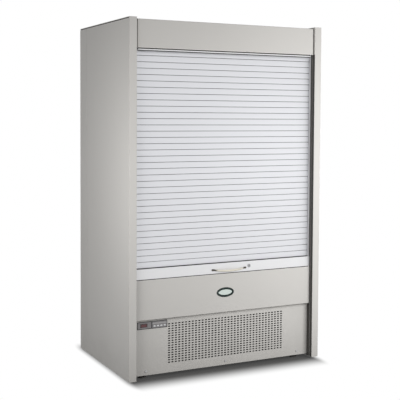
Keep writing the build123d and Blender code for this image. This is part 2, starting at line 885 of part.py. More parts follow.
def grille_screws():
    """Screws that hold the grille panel to the front of the base tray."""
    z = tray_bottom + screw_rise
    screws = []
    for x in screw_xs:
        head = rod((x, grille_y - screw_head, z), (x, grille_y, z), screw_head_radius)
        screws.append(head + rod((x, grille_y, z), (x, tray_front_y, z), screw_radius))
    return screws


def control_bezel():
    """Front frame of the controls, with a window for the display and holes for the buttons."""
    x1 = control_left + control_width
    z1 = control_bottom + control_height
    front = grille_y - control_proud
    bezel = block(control_left, x1, front, grille_y, control_bottom, z1)
    half_w = display_width / 2
    half_h = display_height / 2
    x0 = display_x - half_w
    bezel -= block(x0, x0 + display_width, front, grille_y, display_z - half_h, display_z + half_h)
    x0 = control_divider_x - control_divider_width / 2
    bottom = control_bottom + control_lip
    groove = front + control_proud / 2
    bezel -= block(x0, x0 + control_divider_width, front, groove, bottom, z1 - control_lip)
    half_w = button_width / 2 + button_clearance
    half_h = button_height / 2 + button_clearance
    for x in button_xs:
        bezel -= block(x - half_w, x + half_w, front, grille_y, button_z - half_h, button_z + half_h)
    return bezel


def display_window():
    """Tinted window that fills the opening in the bezel."""
    x0 = display_x - display_width / 2
    z0 = display_z - display_height / 2
    y0 = grille_y - display_thickness
    return block(x0, x0 + display_width, y0, grille_y, z0, z0 + display_height)


def controller_case():
    """Electronic controller behind the bezel, with wells for the button stems."""
    x0 = control_left + control_lip + running_gap
    x1 = control_left + control_width - control_lip - running_gap
    z0 = control_bottom + control_lip + running_gap
    z1 = control_bottom + control_height - control_lip - running_gap
    case = block(x0, x1, grille_y, grille_y + control_depth, z0, z1)
    half_w = button_width / 2 + button_clearance
    half_h = button_height / 2 + button_clearance
    for x in button_xs:
        well = button_stem + running_gap
        case -= block(x - half_w, x + half_w, grille_y, grille_y + well, button_z - half_h, button_z + half_h)
    return case


def control_button(x):
    """Push button standing out of the bezel, on its stem in the controller."""
    half_w = button_width / 2
    half_h = button_height / 2
    front = grille_y - control_proud - button_proud
    back = grille_y + button_stem - button_proud
    return block(x - half_w, x + half_w, front, back, button_z - half_h, button_z + half_h)


# --- Machine compartment ---
def condenser_coil():
    """Finned condenser on two side plates, with the return bends of its tubes."""
    y0 = front_y + condenser_setback
    y1 = y0 + condenser_depth
    x0 = condenser_x - condenser_width / 2
    x1 = condenser_x + condenser_width / 2
    z0 = tray_top + condenser_rise
    z1 = z0 + condenser_height
    coil = block(x0, x1, y0, y1, z0, z1)
    for side in (x0 - condenser_plate, x1):
        coil += block(side, side + condenser_plate, y0, y1, tray_top, z1)
    bends = int(condenser_height / condenser_bend_pitch)
    for index in range(bends):
        z = z0 + condenser_bend_pitch * (index + 0.5)
        y = (y0 + y1) / 2
        for start, out in ((x0 - condenser_plate, -1), (x1 + condenser_plate, 1)):
            end = start + out * 2 * condenser_bend_radius
            coil += rod((start, y, z), (end, y, z), condenser_bend_radius)
    return coil


def condenser_shroud():
    """Box behind the condenser that leads its air to the fan opening."""
    y0 = front_y + condenser_setback + condenser_depth
    y1 = shroud_back
    x0 = condenser_x - condenser_width / 2
    x1 = condenser_x + condenser_width / 2
    z0 = tray_top + condenser_rise
    z1 = z0 + condenser_height
    shroud = block(x0, x1, y0, y1, z0, z1)
    wall = shroud_wall
    shroud -= block(x0 + wall, x1 - wall, y0, y1 - wall, z0 + wall, z1 - wall)
    z = (z0 + z1) / 2
    return shroud - rod((condenser_x, y0, z), (condenser_x, y1, z), fan_radius + fan_clearance)


def condenser_fan_motor():
    """Motor behind the rotor, on four arms that reach forward to the shroud."""
    z = tray_top + condenser_rise + condenser_height / 2
    y0 = condenser_fan_y + running_gap
    motor = rod((condenser_x, y0, z), (condenser_x, y0 + motor_length, z), motor_radius)
    reach = fan_radius + fan_clearance + motor_arm / 2
    arm_y = y0 + motor_arm
    half = motor_arm / 2
    for turn in (45, 135, 225, 315):
        bar = block(0, reach + half, arm_y, arm_y + motor_arm_thickness, -half, half)
        bar += block(reach - half, reach + half, shroud_back, arm_y + motor_arm_thickness, -half, half)
        motor += Pos(condenser_x, 0, z) * Rot(Y=turn) * bar
    return motor


def condenser_fan():
    """Rotor of the condenser fan, half inside the shroud."""
    z = tray_top + condenser_rise + condenser_height / 2
    wheel = rotor(fan_radius, fan_hub_radius, fan_depth, fan_blades, fan_blade_angle)
    return Pos(condenser_x, condenser_fan_y, z) * wheel


def compressor():
    """Hermetic compressor: domed can on a foot plate, with a terminal box on its side."""
    foot_top = tray_top + compressor_foot
    can_top = tray_top + compressor_height
    can = rod((0, 0, foot_top), (0, 0, can_top), compressor_radius)
    can = fillet(can.edges().filter_by(GeomType.CIRCLE), compressor_dome)
    half = compressor_foot_size / 2
    plate_bottom = foot_top - compressor_plate / 2
    plate = block(-half, half, -half, half, plate_bottom, plate_bottom + compressor_plate)
    foot = half - compressor_foot_inset
    for x in (-foot, foot):
        for y in (-foot, foot):
            plate += rod((x, y, tray_top), (x, y, foot_top), compressor_foot_radius)
    box_x = compressor_radius - terminal_overlap
    half_y = terminal_width / 2
    middle = tray_top + compressor_height / 2
    half_z = terminal_height / 2
    box = block(box_x, box_x + terminal_depth, -half_y, half_y, middle - half_z, middle + half_z)
    return Pos(compressor_x, machine_y, 0) * (can + plate + box)


def liquid_receiver():
    """Upright steel bottle for the liquid refrigerant."""
    bottle = rod((0, 0, tray_top), (0, 0, tray_top + receiver_height), receiver_radius)
    bottle = fillet(bottle.edges().group_by(Axis.Z)[-1], receiver_shoulder)
    return Pos(receiver_x, machine_y, 0) * bottle


def pipe(points):
    """Copper pipe along straight runs joined by bends."""
    route = FilletPolyline(*points, radius=pipe_bend)
    section = Plane(origin=route @ 0, z_dir=route % 0) * Circle(pipe_radius)
    return sweep(section, path=route)


def refrigerant_pipes():
    """Discharge, liquid and suction pipes of the refrigeration circuit."""
    can_top = tray_top + compressor_height
    coil_y = front_y + condenser_setback + condenser_depth / 2
    coil_x1 = condenser_x + condenser_width / 2 + condenser_plate + 2 * condenser_bend_radius
    coil_x0 = condenser_x - condenser_width / 2 - condenser_plate - 2 * condenser_bend_radius
    first_bend = tray_top + condenser_rise + condenser_bend_pitch / 2
    last_bend = first_bend + (int(condenser_height / condenser_bend_pitch) - 1) * condenser_bend_pitch
    high = chamber_floor - pipe_top_drop
    lane_x = coil_x1 + pipe_lane
    discharge = pipe(
        [
            (compressor_x, machine_y, can_top),
            (compressor_x, machine_y, high),
            (lane_x, machine_y, high),
            (lane_x, coil_y, high),
            (lane_x, coil_y, last_bend),
            (coil_x1, coil_y, last_bend),
        ]
    )
    left_x = coil_x0 - pipe_lane
    receiver_top = tray_top + receiver_height
    liquid = pipe(
        [
            (coil_x0, coil_y, first_bend),
            (left_x, coil_y, first_bend),
            (left_x, coil_y, high),
            (left_x, machine_y, high),
            (receiver_x, machine_y, high),
            (receiver_x, machine_y, receiver_top),
        ]
    )
    return [discharge, liquid]


def drip_tray():
    """Open tray that takes the defrost water."""
    x0 = drip_tray_x - drip_tray_width / 2
    x1 = x0 + drip_tray_width
    y1 = tray_back_y - tray_thickness - running_gap
    y0 = y1 - drip_tray_depth
    top = tray_top + drip_tray_height
    wall = drip_tray_wall
    tray = block(x0, x1, y0, y1, tray_top, top)
    return tray - block(x0 + wall, x1 - wall, y0 + wall, y1 - wall, tray_top + wall, top)


def main():
    os.makedirs("parts", exist_ok=True)
    left, right = both_sides(end_panel())
    write("left_end_panel", left)
    write("right_end_panel", right)
    write("back_panel", back_panel())
    write("roof_panel", roof_panel())
    write("top_fascia", top_fascia())
    write("head_box_liner", head_box_liner())
    write("base_tray", base_tray())
    write("levelling_feet", *levelling_feet())
    write("rear_vent_cover", rear_vent_cover())
    write("mains_gland", mains_gland())
    write("shutter_slats", *shutter_slats())
    write("shutter_barrel", shutter_barrel())
    write("barrel_axle", barrel_axle())
    write("counterbalance_spring", counterbalance_spring())
    write("barrel_brackets", *both_sides(barrel_bracket()))
    write("shutter_guides", *both_sides(shutter_guide()))
    write("bottom_rail", bottom_rail())
    write("rail_seal", rail_seal())
    write("pull_handle", pull_handle())
    write("lock_cylinder", lock_cylinder())
    write("lock_keeper", lock_keeper())
    write("ceiling_panel", ceiling_panel())
    write("air_honeycomb", air_honeycomb())
    write("light_housing", light_housing())
    write("light_tube", light_tube())
    write("rear_duct_panel", rear_duct_panel())
    write("insulated_base", insulated_base())
    write("deck_rails", *both_sides(deck_rail()))
    write("base_deck", base_deck())
    strips = [ticket_strip(deck_y, deck_top + ticket_height)]
    brackets = []
    for index in range(shelf_count):
        write(f"shelf_{index + 1}", shelf_tray(index))
        strips.append(ticket_strip(shelf_front(index), shelf_height(index)))
        brackets += both_sides(shelf_bracket(index))
    write("ticket_strips", *strips)
    write("shelf_brackets", *brackets)
    write("shelf_uprights", *both_sides(shelf_upright()))
    write("evaporator_coil", evaporator_coil())
    write("evaporator_fan_plate", evaporator_fan_plate())
    write("evaporator_fan_left", evaporator_fan(-1))
    write("evaporator_fan_right", evaporator_fan(1))
    write("apron_panel", apron_panel())
    write("badge_bezel", badge_bezel())
    write("badge_plate", badge_plate())
    write("grille_panel", *grille_panel())
    write("grille_screws", *grille_screws())
    write("control_bezel", control_bezel())
    write("display_window", display_window())
    write("controller_case", controller_case())
    for index, x in enumerate(button_xs):
        write(f"button_{index + 1}", control_button(x))
    write("condenser_coil", condenser_coil())
    write("condenser_shroud", condenser_shroud())
    write("condenser_fan_motor", condenser_fan_motor())
    write("condenser_fan", condenser_fan())
    write("compressor", compressor())
    write("liquid_receiver", liquid_receiver())
    write("refrigerant_pipes", *refrigerant_pipes())
    write("drip_tray", drip_tray())


main()
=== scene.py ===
import math

import bpy
from mathutils import Euler, Matrix, Vector


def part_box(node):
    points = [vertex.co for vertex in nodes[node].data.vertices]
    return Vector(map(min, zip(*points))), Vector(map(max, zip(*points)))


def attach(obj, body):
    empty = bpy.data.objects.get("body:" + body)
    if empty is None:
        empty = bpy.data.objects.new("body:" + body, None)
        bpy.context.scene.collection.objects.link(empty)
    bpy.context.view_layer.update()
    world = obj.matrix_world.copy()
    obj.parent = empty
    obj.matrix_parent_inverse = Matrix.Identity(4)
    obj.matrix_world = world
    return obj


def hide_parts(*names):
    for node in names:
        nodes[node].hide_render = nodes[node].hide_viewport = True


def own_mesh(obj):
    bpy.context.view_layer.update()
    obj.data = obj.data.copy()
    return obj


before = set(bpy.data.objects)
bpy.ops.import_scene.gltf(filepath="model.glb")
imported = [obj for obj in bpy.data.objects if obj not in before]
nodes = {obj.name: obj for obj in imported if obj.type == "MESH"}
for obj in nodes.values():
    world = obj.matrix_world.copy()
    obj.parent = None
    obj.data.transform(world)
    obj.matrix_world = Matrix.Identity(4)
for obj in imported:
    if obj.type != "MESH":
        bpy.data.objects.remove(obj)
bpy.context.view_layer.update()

print("display fridge: frame loaded,", len(nodes), "CAD nodes")

cutPast = 0.01  # how far a cutter runs past the faces that it cuts


def restSelection():
    if bpy.context.object and bpy.context.object.mode != "OBJECT":
        bpy.ops.object.mode_set(mode="OBJECT")
    bpy.ops.object.select_all(action="DESELECT")


def work(piece):
    restSelection()
    bpy.context.view_layer.objects.active = piece
    piece.select_set(True)


def takeShape(name, size=(1, 1, 1)):
    piece = bpy.context.object
    piece.name = name
    piece.data.name = name
    piece.scale = size
    bpy.ops.object.transform_apply(location=True, rotation=True, scale=True)
    return piece


def addBlock(name, low, high):
    restSelection()
    centre = [(a + b) / 2 for a, b in zip(low, high)]
    bpy.ops.mesh.primitive_cube_add(size=1, location=centre)
    return takeShape(name, [b - a for a, b in zip(low, high)])


# a round bar along Y, from its front face backwards
def addRound(name, centre, radius, depth, sides=32, squeeze=1.0):
    restSelection()
    place = (centre[0], centre[1] + depth / 2, centre[2])
    bpy.ops.mesh.primitive_cylinder_add(vertices=sides, radius=radius, depth=depth, location=place,
                                        rotation=(math.pi / 2, 0, 0))
    return takeShape(name, (1, squeeze, 1))


# leaves the piece in edit mode with only the wanted faces, edges or points selected
def pick(piece, kind, test):
    work(piece)
    bpy.ops.object.mode_set(mode="EDIT")
    bpy.ops.mesh.select_mode(type=kind)
    bpy.ops.mesh.select_all(action="DESELECT")
    bpy.ops.object.mode_set(mode="OBJECT")
    mesh = piece.data
    if kind == "FACE":
        for face in mesh.polygons:
            face.select = test(face.center, face.normal)
    elif kind == "EDGE":
        for edge in mesh.edges:
            a, b = (mesh.vertices[i].co for i in edge.vertices)
            edge.select = test((a + b) / 2, (b - a).normalized())
    else:
        for point in mesh.vertices:
            point.select = test(point.co)
    bpy.ops.object.mode_set(mode="EDIT")


def near(a, b, slack=1e-5):
    return abs(a - b) < slack


def cutAcross(piece, place, normal):
    work(piece)
    bpy.ops.object.mode_set(mode="EDIT")
    bpy.ops.mesh.select_all(action="SELECT")
    bpy.ops.mesh.bisect(plane_co=place, plane_no=normal)
    bpy.ops.object.mode_set(mode="OBJECT")


def pull(x=0.0, y=0.0, z=0.0):
    bpy.ops.mesh.extrude_region_move(TRANSFORM_OT_translate={"value": (x, y, z)})


def roundEdges(piece, test, radius, steps=4):
    pick(piece, "EDGE", test)
    bpy.ops.mesh.bevel(offset=radius, segments=steps, affect="EDGES")
    bpy.ops.object.mode_set(mode="OBJECT")


def applyModifier(piece, kind, **settings):
    work(piece)
    modifier = piece.modifiers.new(kind.title(), kind)
    for key, value in settings.items():
        setattr(modifier, key, value)
    bpy.ops.object.modifier_apply(modifier=modifier.name)


def cutWith(piece, cutter):
    applyModifier(piece, "BOOLEAN", operation="DIFFERENCE", solver="EXACT", object=cutter)
    bpy.data.objects.remove(cutter)


def joinTo(piece, *others):
    work(piece)
    for other in others:
        other.select_set(True)
    bpy.ops.object.join()
    return piece


def copyOf(piece, name, shift=(0, 0, 0)):
    work(piece)
    bpy.ops.object.duplicate(linked=False)
    twin = bpy.context.object
    twin.name = name
    twin.data.name = name
    twin.location = shift
    bpy.ops.object.transform_apply(location=True, rotation=True, scale=True)
    return twin


# the same piece on the other side of the cabinet
def mirrorOf(piece, name):
    twin = copyOf(piece, name)
    twin.scale = (-1, 1, 1)
    bpy.ops.object.transform_apply(location=True, rotation=True, scale=True)
    bpy.ops.object.mode_set(mode="EDIT")
    bpy.ops.mesh.select_all(action="SELECT")
    bpy.ops.mesh.normals_make_consistent(inside=False)
    bpy.ops.object.mode_set(mode="OBJECT")
    return twin


# breaks the sharp edges, keeps the flats flat, then hangs the piece on its body
def finishPiece(piece, finish, body, replaced=(), edge=0.0008, steps=2, angle=40):
    if edge:
        applyModifier(piece, "BEVEL", width=edge, segments=steps, limit_method="ANGLE",
                      angle_limit=math.radians(angle), use_clamp_overlap=True)
    work(piece)
    bpy.ops.object.shade_smooth_by_angle(angle=math.radians(angle))
    applyModifier(piece, "WEIGHTED_NORMAL", keep_sharp=True)
    piece.data.materials.clear()
    piece.data.materials.append(finish)
    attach(piece, body)
    if replaced:
        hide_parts(*replaced)
    return piece


# a second finish on some of a piece's faces
def paintFaces(piece, finish, test):
    piece.data.materials.append(finish)
    last = len(piece.data.materials) - 1
    for face in piece.data.polygons:
        if test(face.center, face.normal):
            face.material_index = last


# a front sheet with its returns folded back, open behind
def foldedSheet(name, low, high, returns, fold):
    restSelection()
    centre = ((low[0] + high[0]) / 2, low[1], (low[2] + high[2]) / 2)
    bpy.ops.mesh.primitive_plane_add(size=1, location=centre, rotation=(math.pi / 2, 0, 0))
    piece = takeShape(name, (high[0] - low[0], high[2] - low[2], 1))
    pick(piece, "EDGE", lambda c, d: True)
    pull(y=returns)
    bpy.ops.object.mode_set(mode="OBJECT")
    front = low[1]
    roundEdges(piece, lambda c, d: near(c.y, front) or (abs(d.y) > 0.9), fold, 3)
    return piece


# a shader group, with its input and output sockets
def newGroup(name, inputs, outputs):
    group = bpy.data.node_groups.new(name, "ShaderNodeTree")
    for label, kind, value in inputs:
        socket = group.interface.new_socket(name=label, in_out="INPUT", socket_type=kind)
        if value is not None:
            socket.default_value = value
    for label, kind in outputs:
        group.interface.new_socket(name=label, in_out="OUTPUT", socket_type=kind)
    return group, group.nodes.new("NodeGroupInput"), group.nodes.new("NodeGroupOutput")


def addMath(tree, operation, a, b):
    node = tree.nodes.new("ShaderNodeMath")
    node.operation = operation
    for socket, value in zip(node.inputs, (a, b)):
        if isinstance(value, (int, float)):
            socket.default_value = value
        else:
            tree.links.new(value, socket)
    return node.outputs[0]


def addNoise(tree, vector, scale, detail=2.0, roughness=0.5):
    node = tree.nodes.new("ShaderNodeTexNoise")
    node.inputs["Detail"].default_value = detail
    node.inputs["Roughness"].default_value = roughness
    tree.links.new(vector, node.inputs["Vector"])
    if isinstance(scale, (int, float)):
        node.inputs["Scale"].default_value = scale
    else:
        tree.links.new(scale, node.inputs["Scale"])
    return node.outputs["Fac"]


def addRange(tree, value, fromLow, fromHigh, toLow, toHigh, smooth=False):
    node = tree.nodes.new("ShaderNodeMapRange")
    if smooth:
        node.interpolation_type = "SMOOTHSTEP"
    limits = (("From Min", fromLow), ("From Max", fromHigh), ("To Min", toLow), ("To Max", toHigh))
    for label, limit in limits:
        if isinstance(limit, (int, float)):
            node.inputs[label].default_value = limit
        else:
            tree.links.new(limit, node.inputs[label])
    tree.links.new(value, node.inputs["Value"])
    return node.outputs["Result"]


def splitPlace(tree, vector):
    node = tree.nodes.new("ShaderNodeSeparateXYZ")
    tree.links.new(vector, node.inputs[0])
    return node.outputs


# fine powder-coat pebble, with a slow drift of tone over a large sheet
def makePowderCoat():
    group, inside, outside = newGroup("powderCoat", [
        ("Vector", "NodeSocketVector", None), ("Pebble Scale", "NodeSocketFloat", 900.0)],
        [("Tone", "NodeSocketFloat"), ("Pebble", "NodeSocketFloat")])
    tone = addNoise(group, inside.outputs["Vector"], 2.2, 3.0)
    pebble = addNoise(group, inside.outputs["Vector"], inside.outputs["Pebble Scale"], 2.0, 0.55)
    group.links.new(tone, outside.inputs["Tone"])
    group.links.new(pebble, outside.inputs["Pebble"])
    return group


# long fine lines along X, as on drawn or rolled metal
def makeRolledLines():
    group, inside, outside = newGroup("rolledLines", [
        ("Vector", "NodeSocketVector", None), ("Line Scale", "NodeSocketFloat", 700.0),
        ("Stretch", "NodeSocketFloat", 0.01)],
        [("Lines", "NodeSocketFloat")])
    split = splitPlace(group, inside.outputs["Vector"])
    join = group.nodes.new("ShaderNodeCombineXYZ")
    group.links.new(addMath(group, "MULTIPLY", split[0], inside.outputs["Stretch"]), join.inputs[0])
    group.links.new(split[1], join.inputs[1])
    group.links.new(split[2], join.inputs[2])
    lines = addNoise(group, join.outputs[0], inside.outputs["Line Scale"], 3.0, 0.6)
    group.links.new(lines, outside.inputs["Lines"])
    return group


# dust that gathers towards the floor and in faint drifts higher up
def makeFloorDust():
    group, inside, outside = newGroup("floorDust", [
        ("Vector", "NodeSocketVector", None), ("Height", "NodeSocketFloat", 0.3)],
        [("Dust", "NodeSocketFloat")])
    split = splitPlace(group, inside.outputs["Vector"])
    low = addRange(group, split[2], 0.0, inside.outputs["Height"], 1.0, 0.0, smooth=True)
    drift = addNoise(group, inside.outputs["Vector"], 9.0, 4.0, 0.6)
    group.links.new(addMath(group, "MULTIPLY", low, drift), outside.inputs["Dust"])
    return group


# crystal patches of hot-dip zinc
def makeZincSpangle():
    group, inside, outside = newGroup("zincSpangle", [
        ("Vector", "NodeSocketVector", None), ("Crystal Scale", "NodeSocketFloat", 60.0)],
        [("Spangle", "NodeSocketFloat")])
    cells = group.nodes.new("ShaderNodeTexVoronoi")
    group.links.new(inside.outputs["Vector"], cells.inputs["Vector"])
    group.links.new(inside.outputs["Crystal Scale"], cells.inputs["Scale"])
    split = group.nodes.new("ShaderNodeSeparateColor")
    group.links.new(cells.outputs["Color"], split.inputs[0])
    group.links.new(split.outputs[0], outside.inputs["Spangle"])
    return group


dustLook = {"colour": (0.30, 0.285, 0.26), "dulling": 1.4}

groups = {"powder": makePowderCoat(), "lines": makeRolledLines(), "dust": makeFloorDust(),
          "spangle": makeZincSpangle()}


def mixColours(tree, factor, first, second):
    node = tree.nodes.new("ShaderNodeMix")
    node.data_type = "RGBA"
    tree.links.new(factor, node.inputs["Factor"])
    for socket, value in ((node.inputs[6], first), (node.inputs[7], second)):
        if isinstance(value, (tuple, list)):
            socket.default_value = (*value[:3], 1.0)
        else:
            tree.links.new(value, socket)
    return node.outputs[2]


# one finish: a colour that drifts by a little, its roughness, and its fine relief
def makeFinish(name, colour, rough, relief="powder", scale=900.0, depth=0.00002, drift=0.04, metal=0.0,
               coat=0.0, coatRough=0.2, dust=0.0, dustHeight=0.3, stretch=0.01, specular=0.5, endShade=None):
    material = bpy.data.materials.new(name)
    material.use_nodes = True
    tree = material.node_tree
    shader = tree.nodes["Principled BSDF"]
    place = tree.nodes.new("ShaderNodeTexCoord").outputs["Object"]
    shader.inputs["Coat Weight"].default_value = coat
    shader.inputs["Coat Roughness"].default_value = coatRough
    shader.inputs["Metallic"].default_value = metal
    shader.inputs["Specular IOR Level"].default_value = specular
    powder = tree.nodes.new("ShaderNodeGroup")
    powder.node_tree = groups["powder"]
    powder.inputs["Pebble Scale"].default_value = scale
    tree.links.new(place, powder.inputs["Vector"])
    tone = powder.outputs["Tone"]
    height = powder.outputs["Pebble"]
    if relief == "lines":
        lines = tree.nodes.new("ShaderNodeGroup")
        lines.node_tree = groups["lines"]
        lines.inputs["Line Scale"].default_value = scale
        lines.inputs["Stretch"].default_value = stretch
        tree.links.new(place, lines.inputs["Vector"])
        height = lines.outputs["Lines"]
        tone = addMath(tree, "MULTIPLY", addMath(tree, "ADD", tone, height), 0.5)
    if relief == "spangle":
        spangle = tree.nodes.new("ShaderNodeGroup")
        spangle.node_tree = groups["spangle"]
        spangle.inputs["Crystal Scale"].default_value = scale
        tree.links.new(place, spangle.inputs["Vector"])
        height = spangle.outputs["Spangle"]
        tone = height
    dark = [c * (1 - drift) for c in colour]
    light = [min(1.0, c * (1 + drift)) for c in colour]
    shade = mixColours(tree, addRange(tree, tone, 0.25, 0.75, 0.0, 1.0), dark, light)
    roughness = addRange(tree, tone, 0.2, 0.8, max(0.03, rough - 0.05), rough + 0.06)
    if endShade:
        # painted shade: the colour turns dark towards both ends of a bar along X, standing in for the shade
        # there
        across = splitPlace(tree, place)[0]
        fade = endShade["fade"]
        left = addRange(tree, across, endShade["left"], endShade["left"] + fade, 1.0, 0.0, smooth=True)
        right = addRange(tree, across, endShade["right"] - fade, endShade["right"], 0.0, 1.0, smooth=True)
        shade = mixColours(tree, addMath(tree, "MAXIMUM", left, right), shade, endShade["colour"])
    if dust:
        layer = tree.nodes.new("ShaderNodeGroup")
        layer.node_tree = groups["dust"]
        layer.inputs["Height"].default_value = dustHeight
        tree.links.new(place, layer.inputs["Vector"])
        amount = addMath(tree, "MULTIPLY", layer.outputs["Dust"], dust)
        shade = mixColours(tree, amount, shade, dustLook["colour"])
        dulled = addMath(tree, "MULTIPLY", amount, dustLook["dulling"])
        roughness = addMath(tree, "MAXIMUM", roughness, dulled)
    tree.links.new(shade, shader.inputs["Base Color"])
    tree.links.new(roughness, shader.inputs["Roughness"])
    bump = tree.nodes.new("ShaderNodeBump")
    bump.inputs["Strength"].default_value = 1.0
    bump.inputs["Distance"].default_value = depth
    tree.links.new(height, bump.inputs["Height"])
    tree.links.new(bump.outputs["Normal"], shader.inputs["Normal"])
    return material


# painted shade: the handle's bar is painted dark brown towards both of its ends, where it lies in shade
handleEndShade = {"left": -0.076, "right": 0.112, "fade": 0.018, "colour": (0.075, 0.068, 0.050)}

finishes = {
    "paint": makeFinish("warmGreyPaint", (0.64, 0.624, 0.597), 0.5, drift=0.015, specular=0.35, dust=0.35,
                        dustHeight=0.25),
    "inside": makeFinish("linerPaint", (0.78, 0.79, 0.79), 0.38, drift=0.02),
    "curtain": makeFinish("curtainLacquer", (0.765, 0.77, 0.80), 0.45, relief="lines", scale=420,
                          depth=0.00001, drift=0.015, metal=0.55),
    "rail": makeFinish("railLacquer", (0.81, 0.81, 0.82), 0.42, relief="lines", scale=420, depth=0.00001,
                       drift=0.012, metal=0.4),
    # painted shade: a near-black finish laid in grooves, joints and recesses where shade falls
    "gap": makeFinish("shadowGap", (0.035, 0.035, 0.034), 0.8, scale=400, drift=0.1, specular=0.2),
    # painted shade: a dark finish laid where shade falls, on the end panels' inner faces and at the fascia's
    # ends
    "paintedShade": makeFinish("paintedShadeDark", (0.070, 0.066, 0.062), 0.6, scale=500, drift=0.06, specular=0.3),
    "zinc": makeFinish("galvanisedSteel", (0.52, 0.53, 0.54), 0.42, relief="spangle", scale=70, drift=0.12,
                       metal=0.85),
    "spring": makeFinish("oiledSpring", (0.10, 0.10, 0.105), 0.35, relief="lines", scale=500, metal=0.9,
                         stretch=60.0, drift=0.3),
    "rubber": makeFinish("blackRubber", (0.025, 0.025, 0.026), 0.75, scale=500, depth=0.00004, drift=0.15,
                         dust=0.5, dustHeight=0.05),
    "nickel": makeFinish("satinNickel", (0.74, 0.70, 0.60), 0.30, relief="lines", scale=900, metal=0.75,
                         drift=0.05, endShade=handleEndShade),
    "bronze": makeFinish("darkBronze", (0.085, 0.075, 0.058), 0.4, scale=700, metal=0.4, drift=0.1),
    "lock": makeFinish("dullChrome", (0.52, 0.52, 0.53), 0.25, scale=700, metal=0.95, drift=0.08),
    "honeycomb": makeFinish("paleHoneycomb", (0.68, 0.69, 0.70), 0.6, scale=400, drift=0.05),
    "lens": makeFinish("opalLens", (0.90, 0.91, 0.92), 0.22, scale=300, drift=0.01),
    "ticket": makeFinish("ticketStrip", (0.80, 0.81, 0.82), 0.16, scale=200, drift=0.02, coat=0.6),
    "fins": makeFinish("finStack", (0.45, 0.46, 0.47), 0.45, relief="lines", scale=380, depth=0.0008,
                       metal=0.8, stretch=60.0, drift=0.35, dust=0.5, dustHeight=0.6),
    "blackFins": makeFinish("coatedFinStack", (0.022, 0.022, 0.023), 0.6, relief="lines", scale=380,
                            depth=0.0008, stretch=60.0, drift=0.35, dust=0.12, dustHeight=0.6),
    "slotShade": makeFinish("slotShadeFoam", (0.012, 0.012, 0.012), 0.95, scale=260, depth=0.0006, drift=0.3,
                       specular=0.05),
    "blackPlastic": makeFinish("blackPlastic", (0.03, 0.03, 0.032), 0.5, scale=600, drift=0.15, dust=0.3),
    "motor": makeFinish("motorEnamel", (0.055, 0.055, 0.06), 0.35, scale=500, drift=0.15, dust=0.4),
    "copper": makeFinish("copperPipe", (0.62, 0.33, 0.20), 0.35, relief="lines", scale=500, metal=1.0,
                         drift=0.2),
    "badgeRing": makeFinish("badgeRing", (0.020, 0.032, 0.029), 0.45, scale=700, drift=0.08,
                            specular=0.25),
    "badgeFace": makeFinish("badgeFace", (0.70, 0.78, 0.74), 0.3, scale=500, drift=0.04, coat=0.2),
    "keyStrip": makeFinish("keyStrip", (0.42, 0.41, 0.41), 0.4, scale=600, drift=0.04),
    "controlFrame": makeFinish("controlFrame", (0.030, 0.030, 0.032), 0.45, scale=800, drift=0.08,
                               specular=0.3),
    "controlFace": makeFinish("controlFace", (0.26, 0.25, 0.255), 0.4, scale=800, drift=0.05),
    "display": makeFinish("displayWindow", (0.030, 0.010, 0.013), 0.15, scale=200, drift=0.1, coat=0.3,
                          coatRough=0.04),
    "digit": makeFinish("displayDigit", (0.26, 0.06, 0.07), 0.3, scale=200, drift=0.05),
    "key": makeFinish("paleKey", (0.84, 0.85, 0.86), 0.35, scale=500, drift=0.02),
}
print("display fridge:", len(finishes), "finishes made")


def dress(finish, *names):
    for name in names:
        for slot in nodes[name].material_slots:
            slot.material = finish


# rounds the edges of a plain CAD node without touching its mesh
def soften(width, *names):
    for name in names:
        piece = nodes[name]
        weld = piece.modifiers.new("Weld", "WELD")
        weld.merge_threshold = 0.00002
        bevel = piece.modifiers.new("Bevel", "BEVEL")
        bevel.width = width
        bevel.segments = 2
        bevel.limit_method = "ANGLE"
        bevel.angle_limit = math.radians(50)
        bevel.harden_normals = True


endPanel = {"edgeRadius": 0.002, "grooveSetback": 0.020, "grooveWidth": 0.007, "grooveDepth": 0.005,
            "capHeight": 0.0025, "capGap": 0.005, "capGapDepth": 0.004, "capGapStart": 0.004,
            "seamFromBack": 0.115, "seamWidth": 0.0018, "seamDepth": 0.0012,
            "shadeBack": -0.331, "shadeTop": 1.783, "shadeReach": 0.006}


# an insulated side with a shadow groove under its top edge and a joint near its back
def makeEndPanel():
    low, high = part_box("left_end_panel")
    panel = addBlock("endPanelLeft", low, high)
    roundEdges(panel, lambda c, d: abs(d.z) > 0.9 and near(c.y, low.y), endPanel["edgeRadius"], 4)
    capFoot = high.z - endPanel["capHeight"]
    gapStart = low.y + endPanel["capGapStart"]
    cutWith(panel, addBlock("capGroove", (low.x - cutPast, gapStart, capFoot - endPanel["capGap"]),
                            (low.x + endPanel["capGapDepth"], high.y + cutPast, capFoot)))
    seam = high.y - endPanel["seamFromBack"]
    seamHalf = endPanel["seamWidth"] / 2
    cutWith(panel, addBlock("seam", (low.x - cutPast, seam - seamHalf, low.z - cutPast),
                            (low.x + endPanel["seamDepth"], seam + seamHalf, high.z + cutPast)))
    # the channel that the apron's and the fascia's ends slide into
    channel = low.y + endPanel["grooveSetback"]
    cutWith(panel, addBlock("channel", (high.x - endPanel["grooveDepth"], channel, low.z - cutPast),
                            (high.x + cutPast, channel + endPanel["grooveWidth"], high.z + cutPast)))
    cutAcross(panel, (0, endPanel["shadeBack"], 0), (0, 1, 0))
    cutAcross(panel, (0, 0, endPanel["shadeTop"]), (0, 0, 1))
    return panel


